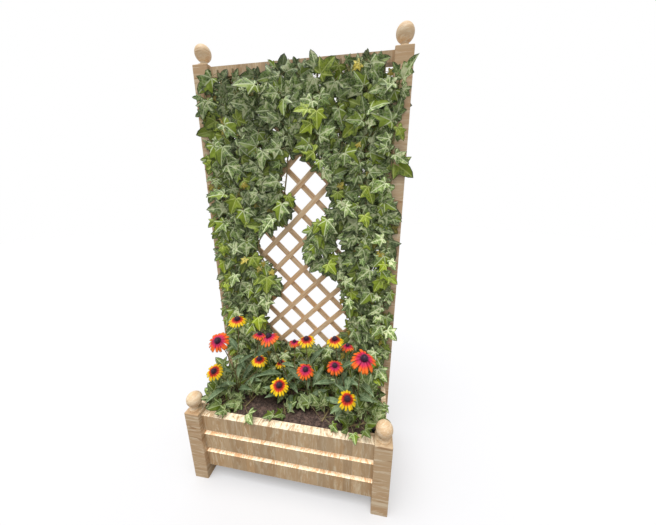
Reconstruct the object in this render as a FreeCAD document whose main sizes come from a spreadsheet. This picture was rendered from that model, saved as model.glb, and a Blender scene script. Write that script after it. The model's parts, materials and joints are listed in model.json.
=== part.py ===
"""Timber planter box with a climbing trellis, its soil, its ivy and its flowers.

Millimetres. X runs along the front of the box, Y from the front to the back, Z up.
The origin is on the ground, under the middle of the box.
"""
import FreeCAD
import Part
import Sketcher
import math
import os
import random
import re
from types import SimpleNamespace

Vector = FreeCAD.Vector

# ------------------------------------------------------------------ driving dimensions
DIMENSIONS = (
    # the box and its posts
    ("overall_width", 830, "outer faces of the posts, left to right"),
    ("overall_depth", 394, "outer faces of the posts, front to back"),
    ("post_side", 64, "square section of every post"),
    ("front_post_height", 346, "ground to the top of a front post"),
    ("rear_post_height", 1688, "ground to the top of a rear post"),
    ("post_ease", 2, "chamfer on the corners of a post"),
    ("ground_clearance", 63, "ground to the lowest board"),
    ("board_height", 75.5, "face width of a board"),
    ("board_gap", 20, "open gap between two boards"),
    ("long_board_thickness", 33, "front and back boards"),
    ("side_board_thickness", 22, "boards of the two ends"),
    ("board_setback", 17.5, "post face to board face"),
    ("board_ease", 1.5, "rounding of a board's long edges"),
    # finials
    ("ball_diameter", 62, "turned ball"),
    ("collar_diameter", 49, "foot of the finial"),
    ("collar_height", 5, "foot of the finial"),
    ("neck_diameter", 27, "between foot and ball"),
    ("cove_radius", 11, "hollow between foot and neck"),
    ("ball_lift", 15, "post top to the lowest point of the full ball"),
    ("spigot_diameter", 14, "peg under the finial"),
    ("spigot_length", 24, "peg under the finial"),
    # battens, bearers, floor and liner
    ("batten_side", 20, "square corner battens"),
    ("batten_drop", 8, "box rim to the top of a batten"),
    ("bearer_width", 25, "floor bearers, front to back"),
    ("bearer_height", 30, "floor bearers"),
    ("floor_thickness", 18, "floor slats"),
    ("floor_slat_gap", 8, "drainage gap between floor slats"),
    ("liner_thickness", 2, "planting liner"),
    ("liner_play", 1, "liner to the wood around it"),
    ("liner_drop", 10, "box rim to the top of the liner"),
    ("soil_drop", 14, "box rim to the soil"),
    # screws and dowels
    ("screw_diameter", 4, "shank"),
    ("screw_head_diameter", 8, "pan head"),
    ("screw_head_height", 2.5, "pan head"),
    ("screw_length", 38, "shank under the head"),
    ("screw_inset", 7, "board face to the screw that goes into a post"),
    ("screw_level_above_floor", 12, "lowest screw of a batten"),
    ("dowel_diameter", 12, "joins rail and post"),
    ("dowel_length", 50, "half in the rail, half in the post"),
    ("bore_play", 0.4, "bore diameter over what goes in it"),
    # trellis
    ("rail_height", 36, "top and bottom rails"),
    ("rail_thickness", 36, "top and bottom rails"),
    ("top_rail_drop", 7, "rear post top to the top rail"),
    ("bottom_rail_lift", 4, "box rim to the bottom rail"),
    ("slat_width", 22, "diagonal slats"),
    ("slat_thickness", 6, "diagonal slats, one layer"),
    ("crossing_pitch", 124, "from crossing to crossing, level"),
    ("first_crossing", 6, "bottom rail to the lowest crossing on the middle line"),
    # ivy and flowers
    ("vine_diameter", 6, "woody ivy stem"),
    ("vine_play", 0.3, "stem to what carries it"),
    ("vine_inset", 8, "liner to the foot of a climbing stem"),
    ("leaf_thickness", 0.9, "ivy and flower leaves"),
    ("leaf_spacing", 20, "along a climbing stem"),
    ("runner_leaf_spacing", 15, "along a stem that creeps on the soil"),
    ("foliage_clearance", 4.2, "least distance of a leaf to a stem's middle line or to a flower"),
    ("leaf_clearance", 2.5, "least distance between the marked points of two leaves"),
    ("flower_stem_diameter", 3.6, "flower stem"),
    ("petal_thickness", 1.4, "ring of petals"),
    ("cone_diameter", 23, "dark middle of a flower"),
    ("cone_height", 13, "dark middle of a flower"),
)

BOARD_LEVELS = ("lower", "middle", "upper")
FLOOR_SLAT_COUNT = 8
BEARER_SCREW_COUNT = 4
PETAL_COUNT = 16
PETAL_DROOP = 24
PARTS_FOLDER = "parts"

document = FreeCAD.newDocument("PlanterWithTrellis")
sheet = document.addObject("Spreadsheet::Sheet", "Dimensions")
for row, (alias, number, note) in enumerate(DIMENSIONS, start=1):
    sheet.set(f"A{row}", alias)
    sheet.set(f"B{row}", str(number))
    sheet.setAlias(f"B{row}", alias)
    sheet.set(f"C{row}", note)
document.recompute()
size = SimpleNamespace(**{alias: float(sheet.get(alias)) for alias, _, _ in DIMENSIONS})
ALIAS_WORD = re.compile(r"\b(" + "|".join(alias for alias, _, _ in DIMENSIONS) + r")\b")

nodes = {}


# ------------------------------------------------------------------ small helpers
def formula(text):
    """Turn a sum of dimension names into an expression on the sheet."""
    return ALIAS_WORD.sub(r"Dimensions.\1", text)


def bind(item, prop, text):
    item.setExpression(prop, formula(text))


def bind_place(item, x="0", y="0", z="0"):
    bind(item, ".Placement.Base.x", x)
    bind(item, ".Placement.Base.y", y)
    bind(item, ".Placement.Base.z", z)


def keep(item, node):
    """Name a finished piece; the name is also its file."""
    item.Label = node
    nodes[node] = item
    return item


def new_body(name):
    return document.addObject("PartDesign::Body", name)


def new_sketch(body, name, role, offset="0"):
    sketch = body.newObject("Sketcher::SketchObject", name)
    plane = next(item for item in body.Origin.OriginFeatures if item.Role == role)
    sketch.AttachmentSupport = [(plane, "")]
    sketch.MapMode = "FlatFace"
    bind(sketch, ".AttachmentOffset.Base.z", offset)
    return sketch


def dimension(sketch, kind, targets, name, text):
    """Add a sketch dimension bound to the sheet."""
    index = sketch.addConstraint(Sketcher.Constraint(kind, *targets, 1.0))
    sketch.renameConstraint(index, name)
    bind(sketch, f"Constraints.{name}", text)


def draw_rectangle(sketch, width, height, lift="0"):
    """A rectangle centred left to right, its lower edge at lift."""
    corners = (Vector(-9, 1, 0), Vector(9, 1, 0), Vector(9, 7, 0), Vector(-9, 7, 0))
    for first, second in zip(corners, corners[1:] + corners[:1]):
        sketch.addGeometry(Part.LineSegment(first, second))
    for edge in range(4):
        sketch.addConstraint(Sketcher.Constraint("Coincident", edge, 2, (edge + 1) % 4, 1))
    for edge, kind in enumerate(("Vertical", "Horizontal", "Vertical"), start=1):
        sketch.addConstraint(Sketcher.Constraint(kind, edge))
    sketch.addConstraint(Sketcher.Constraint("Symmetric", 0, 1, 0, 2, -2))
    dimension(sketch, "DistanceX", (0, 1, 0, 2), "width", width)
    dimension(sketch, "DistanceY", (1, 1, 1, 2), "height", height)
    dimension(sketch, "DistanceY", (-1, 1, 0, 1), "lift", lift)


def draw_circle(sketch, name, across, up, diameter):
    """A circle whose centre is bound in both directions."""
    circle = sketch.addGeometry(Part.Circle(Vector(1, 1, 0), Vector(0, 0, 1), 1))
    dimension(sketch, "DistanceX", (-1, 1, circle, 3), f"{name}_across", across)
    dimension(sketch, "DistanceY", (-1, 1, circle, 3), f"{name}_up", up)
    dimension(sketch, "Diameter", (circle,), f"{name}_diameter", diameter)


def add_pad(body, sketch, length, reverse=False):
    pad = body.newObject("PartDesign::Pad", f"{sketch.Name}_pad")
    pad.Profile = sketch
    pad.Reversed = reverse
    bind(pad, "Length", length)
    document.recompute()
    return pad


def add_bores(body, name, role, offset, centres, diameter, depth, reverse):
    """Cut round bores, and stop if nothing was cut."""
    before = body.Shape.Volume
    sketch = new_sketch(body, f"{name}_sketch", role, offset)
    for index, (across, up) in enumerate(centres):
        draw_circle(sketch, f"bore{index}", across, up, diameter)
    pocket = body.newObject("PartDesign::Pocket", name)
    pocket.Profile = sketch
    pocket.Type = "Length"
    pocket.Reversed = reverse
    bind(pocket, "Length", depth)
    document.recompute()
    if body.Shape.Volume >= before - 1.0:
        raise RuntimeError(f"{name} cuts nothing")


def edges_where(shape, test):
    return [f"Edge{index}" for index, edge in enumerate(shape.Edges, start=1) if test(edge)]


def runs_along(edge, axis):
    ends = [vertex.Point for vertex in edge.Vertexes]
    span = ends[-1] - ends[0]
    return abs(span.dot(axis)) > 0.999 * span.Length


def new_box(name, length, width, height, x, y, z):
    """A plain block given by its size and its lowest corner."""
    block = document.addObject("Part::Box", name)
    bind(block, "Length", length)
    bind(block, "Width", width)
    bind(block, "Height", height)
    bind_place(block, x, y, z)
    return block


def new_cylinder(name, diameter, length, place, direction):
    """A round bar that starts at place and runs along direction."""
    bar = document.addObject("Part::Cylinder", name)
    bind(bar, "Radius", f"({diameter}) / 2")
    bind(bar, "Height", length)
    bar.Placement = FreeCAD.Placement(Vector(), FreeCAD.Rotation(Vector(0, 0, 1), direction))
    bind_place(bar, *place)
    return bar


def fuse(name, items):
    joined = document.addObject("Part::MultiFuse", name)
    joined.Shapes = items
    joined.Refine = True
    return joined


def cut(name, base, tool):
    remains = document.addObject("Part::Cut", name)
    remains.Base = base
    remains.Tool = tool
    return remains


def gather(node, items):
    """Several like pieces under one name."""
    together = document.addObject("Part::Compound", node)
    together.Links = items
    return keep(together, node)


def feature(node, solids):
    """A node whose solids are worked out in this file."""
    item = document.addObject("Part::Feature", node)
    item.Shape = solids[0] if len(solids) == 1 else Part.makeCompound(solids)
    return keep(item, node)


# ------------------------------------------------------------------ levels that several pieces share
BOARD_STEP = "(board_height + board_gap)"
RIM = f"(ground_clearance + 2 * {BOARD_STEP} + board_height)"
FLOOR_TOP = "(ground_clearance + bearer_height + floor_thickness)"
LONG_BOARD_INNER = "(board_setback + long_board_thickness)"
SIDE_BOARD_INNER = "(board_setback + side_board_thickness)"
BORE = "(screw_diameter + bore_play)"
SCREW_BITE = "(screw_length - batten_side)"
BORE_END = "bore_play"
rim = size.ground_clearance + 2 * (size.board_height + size.board_gap) + size.board_height
floor_top = size.ground_clearance + size.bearer_height + size.floor_thickness
soil_level = rim - size.soil_drop
top_rail_top = size.rear_post_height - size.top_rail_drop
bottom_rail_bottom = rim + size.bottom_rail_lift
post_plane = size.overall_depth / 2 - size.post_side / 2
inner_half_width = size.overall_width / 2 - size.post_side
inner_half_depth = size.overall_depth / 2 - size.post_side
long_board_face = size.overall_depth / 2 - size.board_setback - size.long_board_thickness
side_board_face = size.overall_width / 2 - size.board_setback - size.side_board_thickness
RUNG_LEVELS = (
    f"({FLOOR_TOP} + screw_level_above_floor)",
    f"(ground_clearance + {BOARD_STEP} + board_height / 2)",
    f"(ground_clearance + 2 * {BOARD_STEP} + board_height / 2)",
)
END_SCREW_LEVELS = (
    f"({RUNG_LEVELS[0]} * 0.5 + {RUNG_LEVELS[1]} * 0.5)",
    f"({RUNG_LEVELS[1]} * 0.5 + {RUNG_LEVELS[2]} * 0.5)",
)
SIDE_SCREW_LEVELS = tuple(f"({level} + 3 * screw_diameter)" for level in END_SCREW_LEVELS)
TOP_RAIL_MIDDLE = "(rear_post_height - top_rail_drop - rail_height / 2)"
BOTTOM_RAIL_MIDDLE = f"({RIM} + bottom_rail_lift + rail_height / 2)"


# ------------------------------------------------------------------ posts and finials
def make_post(node, side, end):
    """A square post; side is -1 at the left, end is -1 at the front."""
    height = "front_post_height" if end < 0 else "rear_post_height"
    body = new_body(node)
    section = new_sketch(body, f"{node}_section", "XY_Plane")
    draw_rectangle(section, "post_side", "post_side", "0 - post_side / 2")
    pad = add_pad(body, section, height)
    chamfer = body.newObject("PartDesign::Chamfer", f"{node}_ease")
    top = Vector(0, 0, 1)
    height_now = size.front_post_height if end < 0 else size.rear_post_height
    eased = edges_where(pad.Shape, lambda edge: runs_along(edge, top) or edge.CenterOfMass.z > height_now - 1)
    chamfer.Base = (pad, eased)
    bind(chamfer, "Size", "post_ease")
    document.recompute()
    add_bores(body, f"{node}_spigot_bore", "XY_Plane", height, [("0", "0")],
              "spigot_diameter + bore_play", "spigot_length + bore_play", False)
    # screws of the batten on the face that looks along the long boards
    across = f"{-end} * (screw_inset + {LONG_BOARD_INNER} - post_side / 2)"
    face = f"{-side} * post_side / 2"
    add_bores(body, f"{node}_end_screws", "YZ_Plane", face, [(across, level) for level in END_SCREW_LEVELS],
              BORE, f"{SCREW_BITE} + {BORE_END}", side > 0)
    # screws of the batten on the face that looks along the side boards
    across = f"{-side} * ({SIDE_BOARD_INNER} + batten_side / 2 - post_side / 2)"
    face = f"{end} * post_side / 2"
    add_bores(body, f"{node}_side_screws", "XZ_Plane", face, [(across, level) for level in SIDE_SCREW_LEVELS],
              BORE, f"{SCREW_BITE} + {BORE_END}", end < 0)
    if end > 0:
        add_bores(body, f"{node}_dowel_bores", "YZ_Plane", f"{-side} * post_side / 2",
                  [("0", BOTTOM_RAIL_MIDDLE), ("0", TOP_RAIL_MIDDLE)],
                  "dowel_diameter + bore_play", "dowel_length / 2 + bore_play", side > 0)
    bind_place(body, f"{side} * (overall_width - post_side) / 2", f"{end} * (overall_depth - post_side) / 2")
    keep(body, node)


def join(sketch, first, second):
    """Make the two nearest ends of two lines or arcs one point; returns which end of the first it is."""
    choices = [(sketch.getPoint(first, a).distanceToPoint(sketch.getPoint(second, b)), a, b)
               for a in (1, 2) for b in (1, 2)]
    _, end_of_first, end_of_second = min(choices)
    sketch.addConstraint(Sketcher.Constraint("Coincident", first, end_of_first, second, end_of_second))
    return end_of_first


def make_finial(node, side, end):
    """Peg, foot, neck and ball turned from one piece."""
    height = "front_post_height" if end < 0 else "rear_post_height"
    peg = size.spigot_diameter / 2
    foot = size.collar_diameter / 2
    neck = size.neck_diameter / 2
    ball = size.ball_diameter / 2
    ball_middle = size.ball_lift + ball
    neck_top = ball_middle - math.sqrt(ball ** 2 - neck ** 2)
    corners = (Vector(0, -size.spigot_length, 0), Vector(peg, -size.spigot_length, 0), Vector(peg, 0, 0),
               Vector(foot, 0, 0), Vector(foot, size.collar_height, 0), Vector(neck, neck_top, 0),
               Vector(0, ball_middle + ball, 0))
    body = new_body(node)
    profile = new_sketch(body, f"{node}_profile", "XZ_Plane")
    for first, second in zip(corners[:4], corners[1:5]):
        profile.addGeometry(Part.LineSegment(first, second))
    hollow = (corners[4] + corners[5]) * 0.5 - Vector(0.26 * (foot - neck), 0.08 * neck_top, 0)
    profile.addGeometry(Part.Arc(corners[4], hollow, corners[5]))
    profile.addGeometry(Part.Arc(corners[5], Vector(ball, ball_middle, 0), corners[6]))
    profile.addGeometry(Part.LineSegment(corners[6], corners[0]))
    cove, round_part, middle_line = 4, 5, 6
    peg_end = join(profile, 0, middle_line)
    for line in range(4):
        profile.addConstraint(Sketcher.Constraint("Vertical" if line % 2 else "Horizontal", line))
        join(profile, line, line + 1)
    neck_end = join(profile, cove, round_part)
    crown_end = join(profile, round_part, middle_line)
    profile.addConstraint(Sketcher.Constraint("PointOnObject", 0, peg_end, -2))
    profile.addConstraint(Sketcher.Constraint("PointOnObject", round_part, crown_end, -2))
    profile.addConstraint(Sketcher.Constraint("PointOnObject", round_part, 3, -2))
    profile.addConstraint(Sketcher.Constraint("PointOnObject", 2, 1, -1))
    dimension(profile, "DistanceY", (-1, 1, 0, 1), "peg_length", "0 - spigot_length")
    dimension(profile, "DistanceX", (-1, 1, 1, 1), "peg_radius", "spigot_diameter / 2")
    dimension(profile, "DistanceX", (-1, 1, 2, 2), "foot_radius", "collar_diameter / 2")
    dimension(profile, "DistanceY", (3, 1, 3, 2), "foot_height", "collar_height")
    dimension(profile, "DistanceX", (-1, 1, cove, neck_end), "neck_radius", "neck_diameter / 2")
    dimension(profile, "Radius", (cove,), "cove_radius", "cove_radius")
    dimension(profile, "Radius", (round_part,), "ball_radius", "ball_diameter / 2")
    dimension(profile, "DistanceY", (-1, 1, round_part, 3), "ball_middle", "ball_lift + ball_diameter / 2")
    turned = body.newObject("PartDesign::Revolution", f"{node}_turned")
    turned.Profile = profile
    turned.ReferenceAxis = (profile, ["V_Axis"])
    turned.Angle = 360
    bind_place(body, f"{side} * (overall_width - post_side) / 2",
               f"{end} * (overall_depth - post_side) / 2", height)
    keep(body, node)


# ------------------------------------------------------------------ boards
def make_board(node, level, long_side, turn, x, y):
    """One board: outer face on local Y = 0, inner face at its thickness."""
    length = "(overall_width - 2 * post_side)" if long_side else "(overall_depth - 2 * post_side)"
    thickness = "long_board_thickness" if long_side else "side_board_thickness"
    body = new_body(node)
    face = new_sketch(body, f"{node}_face", "XZ_Plane")
    draw_rectangle(face, length, "board_height")
    pad = add_pad(body, face, thickness, reverse=True)
    ease = body.newObject("PartDesign::Fillet", f"{node}_ease")
    ease.Base = (pad, edges_where(pad.Shape, lambda edge: runs_along(edge, Vector(1, 0, 0))))
    bind(ease, "Radius", "board_ease")
    document.recompute()
    up = f"({RUNG_LEVELS[0]} - ground_clearance)" if level == "lower" else "board_height / 2"
    reach = f"({length} / 2 - batten_side / 2)"
    centres = [(f"-1 * {reach}", up), (reach, up)]
    inner_face = f"-1 * {thickness}"
    add_bores(body, f"{node}_batten_screws", "XZ_Plane", inner_face, centres, BORE,
              f"{SCREW_BITE} + {BORE_END}", True)
    if long_side and level == "lower":
        centres = [(across, "bearer_height / 2") for across in bearer_screw_places()]
        add_bores(body, f"{node}_bearer_screws", "XZ_Plane", inner_face, centres, BORE,
                  f"screw_length - bearer_width + {BORE_END}", True)
    body.Placement = FreeCAD.Placement(Vector(), FreeCAD.Rotation(Vector(0, 0, 1), turn))
    bind_place(body, x, y, f"ground_clearance + {BOARD_LEVELS.index(level)} * {BOARD_STEP}")
    keep(body, node)


def bearer_screw_places():
    """Screws spread along a bearer, symmetric about its middle."""
    steps = [index - (BEARER_SCREW_COUNT - 1) / 2 for index in range(BEARER_SCREW_COUNT)]
    return [f"{step} * (overall_width - 2 * post_side) / {BEARER_SCREW_COUNT}" for step in steps]


# ------------------------------------------------------------------ battens, bearers, floor
def make_battens():
    """Two upright battens in every corner, one for each board that ends there."""
    height = f"{RIM} - batten_drop - {FLOOR_TOP}"
    groups = {"end_battens": [], "side_battens": []}
    for side in (-1, 1):
        for end in (-1, 1):
            corner = f"{'left' if side < 0 else 'right'}_{'front' if end < 0 else 'back'}"
            middle_x = f"{side} * (overall_width / 2 - post_side - batten_side / 2)"
            middle_y = f"{end} * (overall_depth / 2 - {LONG_BOARD_INNER} - batten_side / 2)"
            block = new_box(f"end_batten_{corner}", "batten_side", "batten_side", height,
                            f"{middle_x} - batten_side / 2", f"{middle_y} - batten_side / 2", FLOOR_TOP)
            bores = []
            for index, level in enumerate(RUNG_LEVELS):
                start = f"{middle_y} - {end} * 0.75 * batten_side"
                bores.append(new_cylinder(f"end_batten_{corner}_board_bore{index}", BORE, "1.5 * batten_side",
                                          (middle_x, start, level), Vector(0, end, 0)))
            for index, level in enumerate(END_SCREW_LEVELS):
                start = f"{middle_x} - {side} * 0.75 * batten_side"
                line = f"{end} * (overall_depth / 2 - {LONG_BOARD_INNER} - screw_inset)"
                bores.append(new_cylinder(f"end_batten_{corner}_post_bore{index}", BORE, "1.5 * batten_side",
                                          (start, line, level), Vector(side, 0, 0)))
            bores = fuse(f"end_bores_{corner}", bores)
            groups["end_battens"].append(cut(f"end_batten_{corner}_bored", block, bores))

            middle_x = f"{side} * (overall_width / 2 - {SIDE_BOARD_INNER} - batten_side / 2)"
            middle_y = f"{end} * (overall_depth / 2 - post_side - batten_side / 2)"
            block = new_box(f"side_batten_{corner}", "batten_side", "batten_side", height,
                            f"{middle_x} - batten_side / 2", f"{middle_y} - batten_side / 2", FLOOR_TOP)
            bores = []
            for index, level in enumerate(RUNG_LEVELS):
                start = f"{middle_x} - {side} * 0.75 * batten_side"
                bores.append(new_cylinder(f"side_batten_{corner}_board_bore{index}", BORE, "1.5 * batten_side",
                                          (start, middle_y, level), Vector(side, 0, 0)))
            for index, level in enumerate(SIDE_SCREW_LEVELS):
                start = f"{middle_y} - {end} * 0.75 * batten_side"
                bores.append(new_cylinder(f"side_batten_{corner}_post_bore{index}", BORE, "1.5 * batten_side",
                                          (middle_x, start, level), Vector(0, end, 0)))
            bores = fuse(f"side_bores_{corner}", bores)
            groups["side_battens"].append(cut(f"side_batten_{corner}_bored", block, bores))
    for node, pieces in groups.items():
        gather(node, pieces)


def make_bearer(node, end):
    """Carries the floor slats along one long board."""
    length = "(overall_width - 2 * post_side)"
    inner = f"(overall_depth / 2 - {LONG_BOARD_INNER})"
    low_y = f"0 - {inner}" if end < 0 else f"{inner} - bearer_width"
    bar = new_box(f"{node}_bar", length, "bearer_width", "bearer_height",
                  f"0 - {length} / 2", low_y, "ground_clearance")
    bores = []
    for index, across in enumerate(bearer_screw_places()):
        start = f"{end} * ({inner} - 1.25 * bearer_width)"
        level = "ground_clearance + bearer_height / 2"
        bores.append(new_cylinder(f"{node}_bore{index}", BORE, "1.5 * bearer_width",
                                  (across, start, level), Vector(0, end, 0)))
    keep(cut(f"{node}_bored", bar, fuse(f"{node}_bores", bores)), node)


def make_floor():
    length = "(overall_width - 2 * post_side)"
    slat = f"(({length} - {FLOOR_SLAT_COUNT - 1} * floor_slat_gap) / {FLOOR_SLAT_COUNT})"
    inner = f"(overall_depth / 2 - {LONG_BOARD_INNER})"
    slats = []
    for index in range(FLOOR_SLAT_COUNT):
        left = f"0 - {length} / 2 + {index} * ({slat} + floor_slat_gap)"
        slats.append(new_box(f"floor_slat_{index + 1}", slat, f"2 * {inner}", "floor_thickness",
                             left, f"0 - {inner}", "ground_clearance + bearer_height"))
    gather("floor_slats", slats)


# ------------------------------------------------------------------ liner and soil
def cross_block(name, wall, bottom, height):
    """The planting space, whose corners step in around the battens, less a wall."""
    long_x = f"(overall_width / 2 - {SIDE_BOARD_INNER} - liner_play - {wall})"
    long_y = f"(overall_depth / 2 - {LONG_BOARD_INNER} - liner_play - {wall})"
    step_x = f"(overall_width / 2 - post_side - batten_side - screw_head_height - liner_play - {wall})"
    step_y = f"(overall_depth / 2 - post_side - batten_side - screw_head_height - liner_play - {wall})"
    along = new_box(f"{name}_along", f"2 * {long_x}", f"2 * {step_y}", height,
                    f"0 - {long_x}", f"0 - {step_y}", bottom)
    across = new_box(f"{name}_across", f"2 * {step_x}", f"2 * {long_y}", height,
                     f"0 - {step_x}", f"0 - {long_y}", bottom)
    return fuse(f"{name}_block", [along, across])


def make_liner_and_soil():
    outside = cross_block("liner_outside", "0", FLOOR_TOP, f"{RIM} - liner_drop - {FLOOR_TOP}")
    inside = cross_block("liner_inside", "liner_thickness", f"{FLOOR_TOP} + liner_thickness", RIM)
    keep(cut("liner_shell", outside, inside), "planting_liner")
    soil = cross_block("soil", "liner_thickness", f"{FLOOR_TOP} + liner_thickness",
                       f"{RIM} - soil_drop - {FLOOR_TOP} - liner_thickness")
    keep(soil, "potting_soil")


# ------------------------------------------------------------------ trellis
def make_rail(node, bottom):
    length = "(overall_width - 2 * post_side)"
    plane = "(overall_depth - post_side) / 2"
    bar = new_box(f"{node}_bar", length, "rail_thickness", "rail_height",
                  f"0 - {length} / 2", f"{plane} - rail_thickness / 2", bottom)
    bores = []
    for side, side_name in ((-1, "left"), (1, "right")):
        mouth = (f"{side} * {length} / 2", plane, f"{bottom} + rail_height / 2")
        bores.append(new_cylinder(f"{node}_bore_{side_name}", "dowel_diameter + bore_play",
                                  "dowel_length / 2 + bore_play", mouth, Vector(-side, 0, 0)))
    keep(cut(f"{node}_bored", bar, fuse(f"{node}_bores", bores)), node)


def make_rail_dowels():
    dowels = []
    for level_name, level in (("bottom", BOTTOM_RAIL_MIDDLE), ("top", TOP_RAIL_MIDDLE)):
        for side, side_name in ((-1, "left"), (1, "right")):
            start = f"{side} * (overall_width / 2 - post_side - dowel_length / 2)"
            place = (start, "(overall_depth - post_side) / 2", level)
            dowels.append(new_cylinder(f"dowel_{level_name}_{side_name}", "dowel_diameter", "dowel_length",
                                       place, Vector(side, 0, 0)))
    gather("rail_dowels", dowels)


def make_slats(node, lean, layer):
    """One layer of diagonal slats; lean 1 rises to the right, layer 0 is the front one."""
    low = f"({RIM} + bottom_rail_lift + rail_height)"
    high = "(rear_post_height - top_rail_drop - rail_height)"
    half = "(overall_width / 2 - post_side)"
    front = f"((overall_depth - post_side) / 2 + {layer - 1} * slat_thickness)"
    half_length = f"(2 * {half} + slat_width)"
    low_now = bottom_rail_bottom + size.rail_height
    opening_height = top_rail_top - size.rail_height - low_now
    corner = math.sqrt(2) * size.slat_width
    count = math.ceil((opening_height + inner_half_width) / size.crossing_pitch)
    slats = []
    for index in range(-count, count + 1):
        crossing_now = size.first_crossing + index * size.crossing_pitch
        below_top = opening_height - (crossing_now - inner_half_width) > corner
        above_bottom = crossing_now + inner_half_width > corner
        if not (below_top and above_bottom):
            continue
        slat = new_box(f"{node}_{len(slats) + 1}", f"2 * {half_length}", "slat_thickness", "slat_width",
                       "0", "0", "0")
        slat.Placement = FreeCAD.Placement(Vector(), FreeCAD.Rotation(Vector(0, -1, 0), 45 * lean))
        crossing = f"({low} + first_crossing + {index} * crossing_pitch)"
        bind_place(slat, f"({lean} * slat_width / 2 - {half_length}) * sqrt(0.5)", front,
                   f"{crossing} - ({lean} * {half_length} + slat_width / 2) * sqrt(0.5)")
        slats.append(slat)
    whole = document.addObject("Part::Compound", f"{node}_uncut")
    whole.Links = slats
    opening = new_box(f"{node}_opening", f"2 * {half}", "slat_thickness", f"{high} - {low}",
                      f"0 - {half}", front, low)
    trimmed = document.addObject("Part::Common", f"{node}_trimmed")
    trimmed.Base = whole
    trimmed.Tool = opening
    keep(trimmed, node)


# ------------------------------------------------------------------ screws
def new_screw(name, place, direction):
    """A pan-head screw; place is under its head and direction is the way it is driven."""
    shank = new_cylinder(f"{name}_shank", "screw_diameter", "screw_length", place, direction)
    head = new_cylinder(f"{name}_head", "screw_head_diameter", "screw_head_height", place, direction * -1)
    return fuse(name, [head, shank])


def make_screws():
    end_batten_x = "(overall_width / 2 - post_side - batten_side / 2)"
    end_batten_y = f"(overall_depth / 2 - {LONG_BOARD_INNER} - batten_side)"
    post_screw_y = f"(overall_depth / 2 - {LONG_BOARD_INNER} - screw_inset)"
    side_batten_x = f"(overall_width / 2 - {SIDE_BOARD_INNER} - batten_side)"
    side_batten_y = "(overall_depth / 2 - post_side - batten_side / 2)"
    screws = []
    for side, side_name in ((-1, "left"), (1, "right")):
        for end, end_name in ((-1, "front"), (1, "back")):
            to_side = Vector(side, 0, 0)
            to_end = Vector(0, end, 0)
            corner = f"screw_{side_name}_{end_name}"
            for index, level in enumerate(RUNG_LEVELS):
                place = (f"{side} * {end_batten_x}", f"{end} * {end_batten_y}", level)
                screws.append(new_screw(f"{corner}_long_board_{index}", place, to_end))
                place = (f"{side} * {side_batten_x}", f"{end} * {side_batten_y}", level)
                screws.append(new_screw(f"{corner}_side_board_{index}", place, to_side))
            for index, level in enumerate(END_SCREW_LEVELS):
                place = (f"{side} * ({end_batten_x} - batten_side / 2)", f"{end} * {post_screw_y}", level)
                screws.append(new_screw(f"{corner}_post_across_{index}", place, to_side))
            for index, level in enumerate(SIDE_SCREW_LEVELS):
                place = (f"{side} * ({side_batten_x} + batten_side / 2)",
                         f"{end} * ({side_batten_y} - batten_side / 2)", level)
                screws.append(new_screw(f"{corner}_post_along_{index}", place, to_end))
    gather("batten_screws", screws)
    screws = []
    for end, end_name in ((-1, "front"), (1, "back")):
        for index, across in enumerate(bearer_screw_places()):
            place = (across, f"{end} * (overall_depth / 2 - {LONG_BOARD_INNER} - bearer_width)",
                     "ground_clearance + bearer_height / 2")
            screws.append(new_screw(f"screw_bearer_{end_name}_{index}", place, Vector(0, end, 0)))
    gather("bearer_screws", screws)


# ------------------------------------------------------------------ the timber together
def make_frame():
    for side, side_name in ((-1, "left"), (1, "right")):
        for end, end_name in ((-1, "front"), (1, "rear")):
            make_post(f"post_{end_name}_{side_name}", side, end)
            make_finial(f"finial_{end_name}_{side_name}", side, end)
    for level in BOARD_LEVELS:
        long_y = "overall_depth / 2 - board_setback"
        side_x = "overall_width / 2 - board_setback"
        make_board(f"front_board_{level}", level, True, 0, "0", f"0 - ({long_y})")
        make_board(f"back_board_{level}", level, True, 180, "0", long_y)
        make_board(f"left_board_{level}", level, False, 270, f"0 - ({side_x})", "0")
        make_board(f"right_board_{level}", level, False, 90, side_x, "0")
    make_battens()
    make_bearer("bearer_front", -1)
    make_bearer("bearer_back", 1)
    make_floor()
    make_liner_and_soil()
    make_rail("trellis_bottom_rail", f"({RIM} + bottom_rail_lift)")
    make_rail("trellis_top_rail", "(rear_post_height - top_rail_drop - rail_height)")
    make_rail_dowels()
    make_slats("trellis_front_slats", 1, 0)
    make_slats("trellis_rear_slats", -1, 1)
    make_screws()


# ------------------------------------------------------------------ growing things: where they may be
class Thicket:
    """Everything that has grown so far, as points, so that a new piece can be kept clear of it."""

    CELL = 8.0

    def __init__(self):
        self.cells = {}
        self.blades = []

    def cell_of(self, point):
        return tuple(math.floor(value / self.CELL) for value in point)

    def add(self, points, gap):
        """Keep points that what grows later stays a gap away from."""
        for point in points:
            self.cells.setdefault(self.cell_of(point), []).append((point, gap))

    def clears(self, points):
        for point in points:
            column, row, layer = self.cell_of(point)
            for i in (column - 1, column, column + 1):
                for j in (row - 1, row, row + 1):
                    for k in (layer - 1, layer, layer + 1):
                        for other, gap in self.cells.get((i, j, k), ()):
                            if point.distanceToPoint(other) < gap:
                                return False
        return True

    def crosses(self, blade):
        """True where a new leaf would cut through an older one."""
        for other in self.blades:
            if (blade.middle.distanceToPoint(other.middle) < blade.radius + other.radius
                    and (other.is_pierced(blade.edge) or blade.is_pierced(other.edge))):
                return True
        return False


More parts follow.
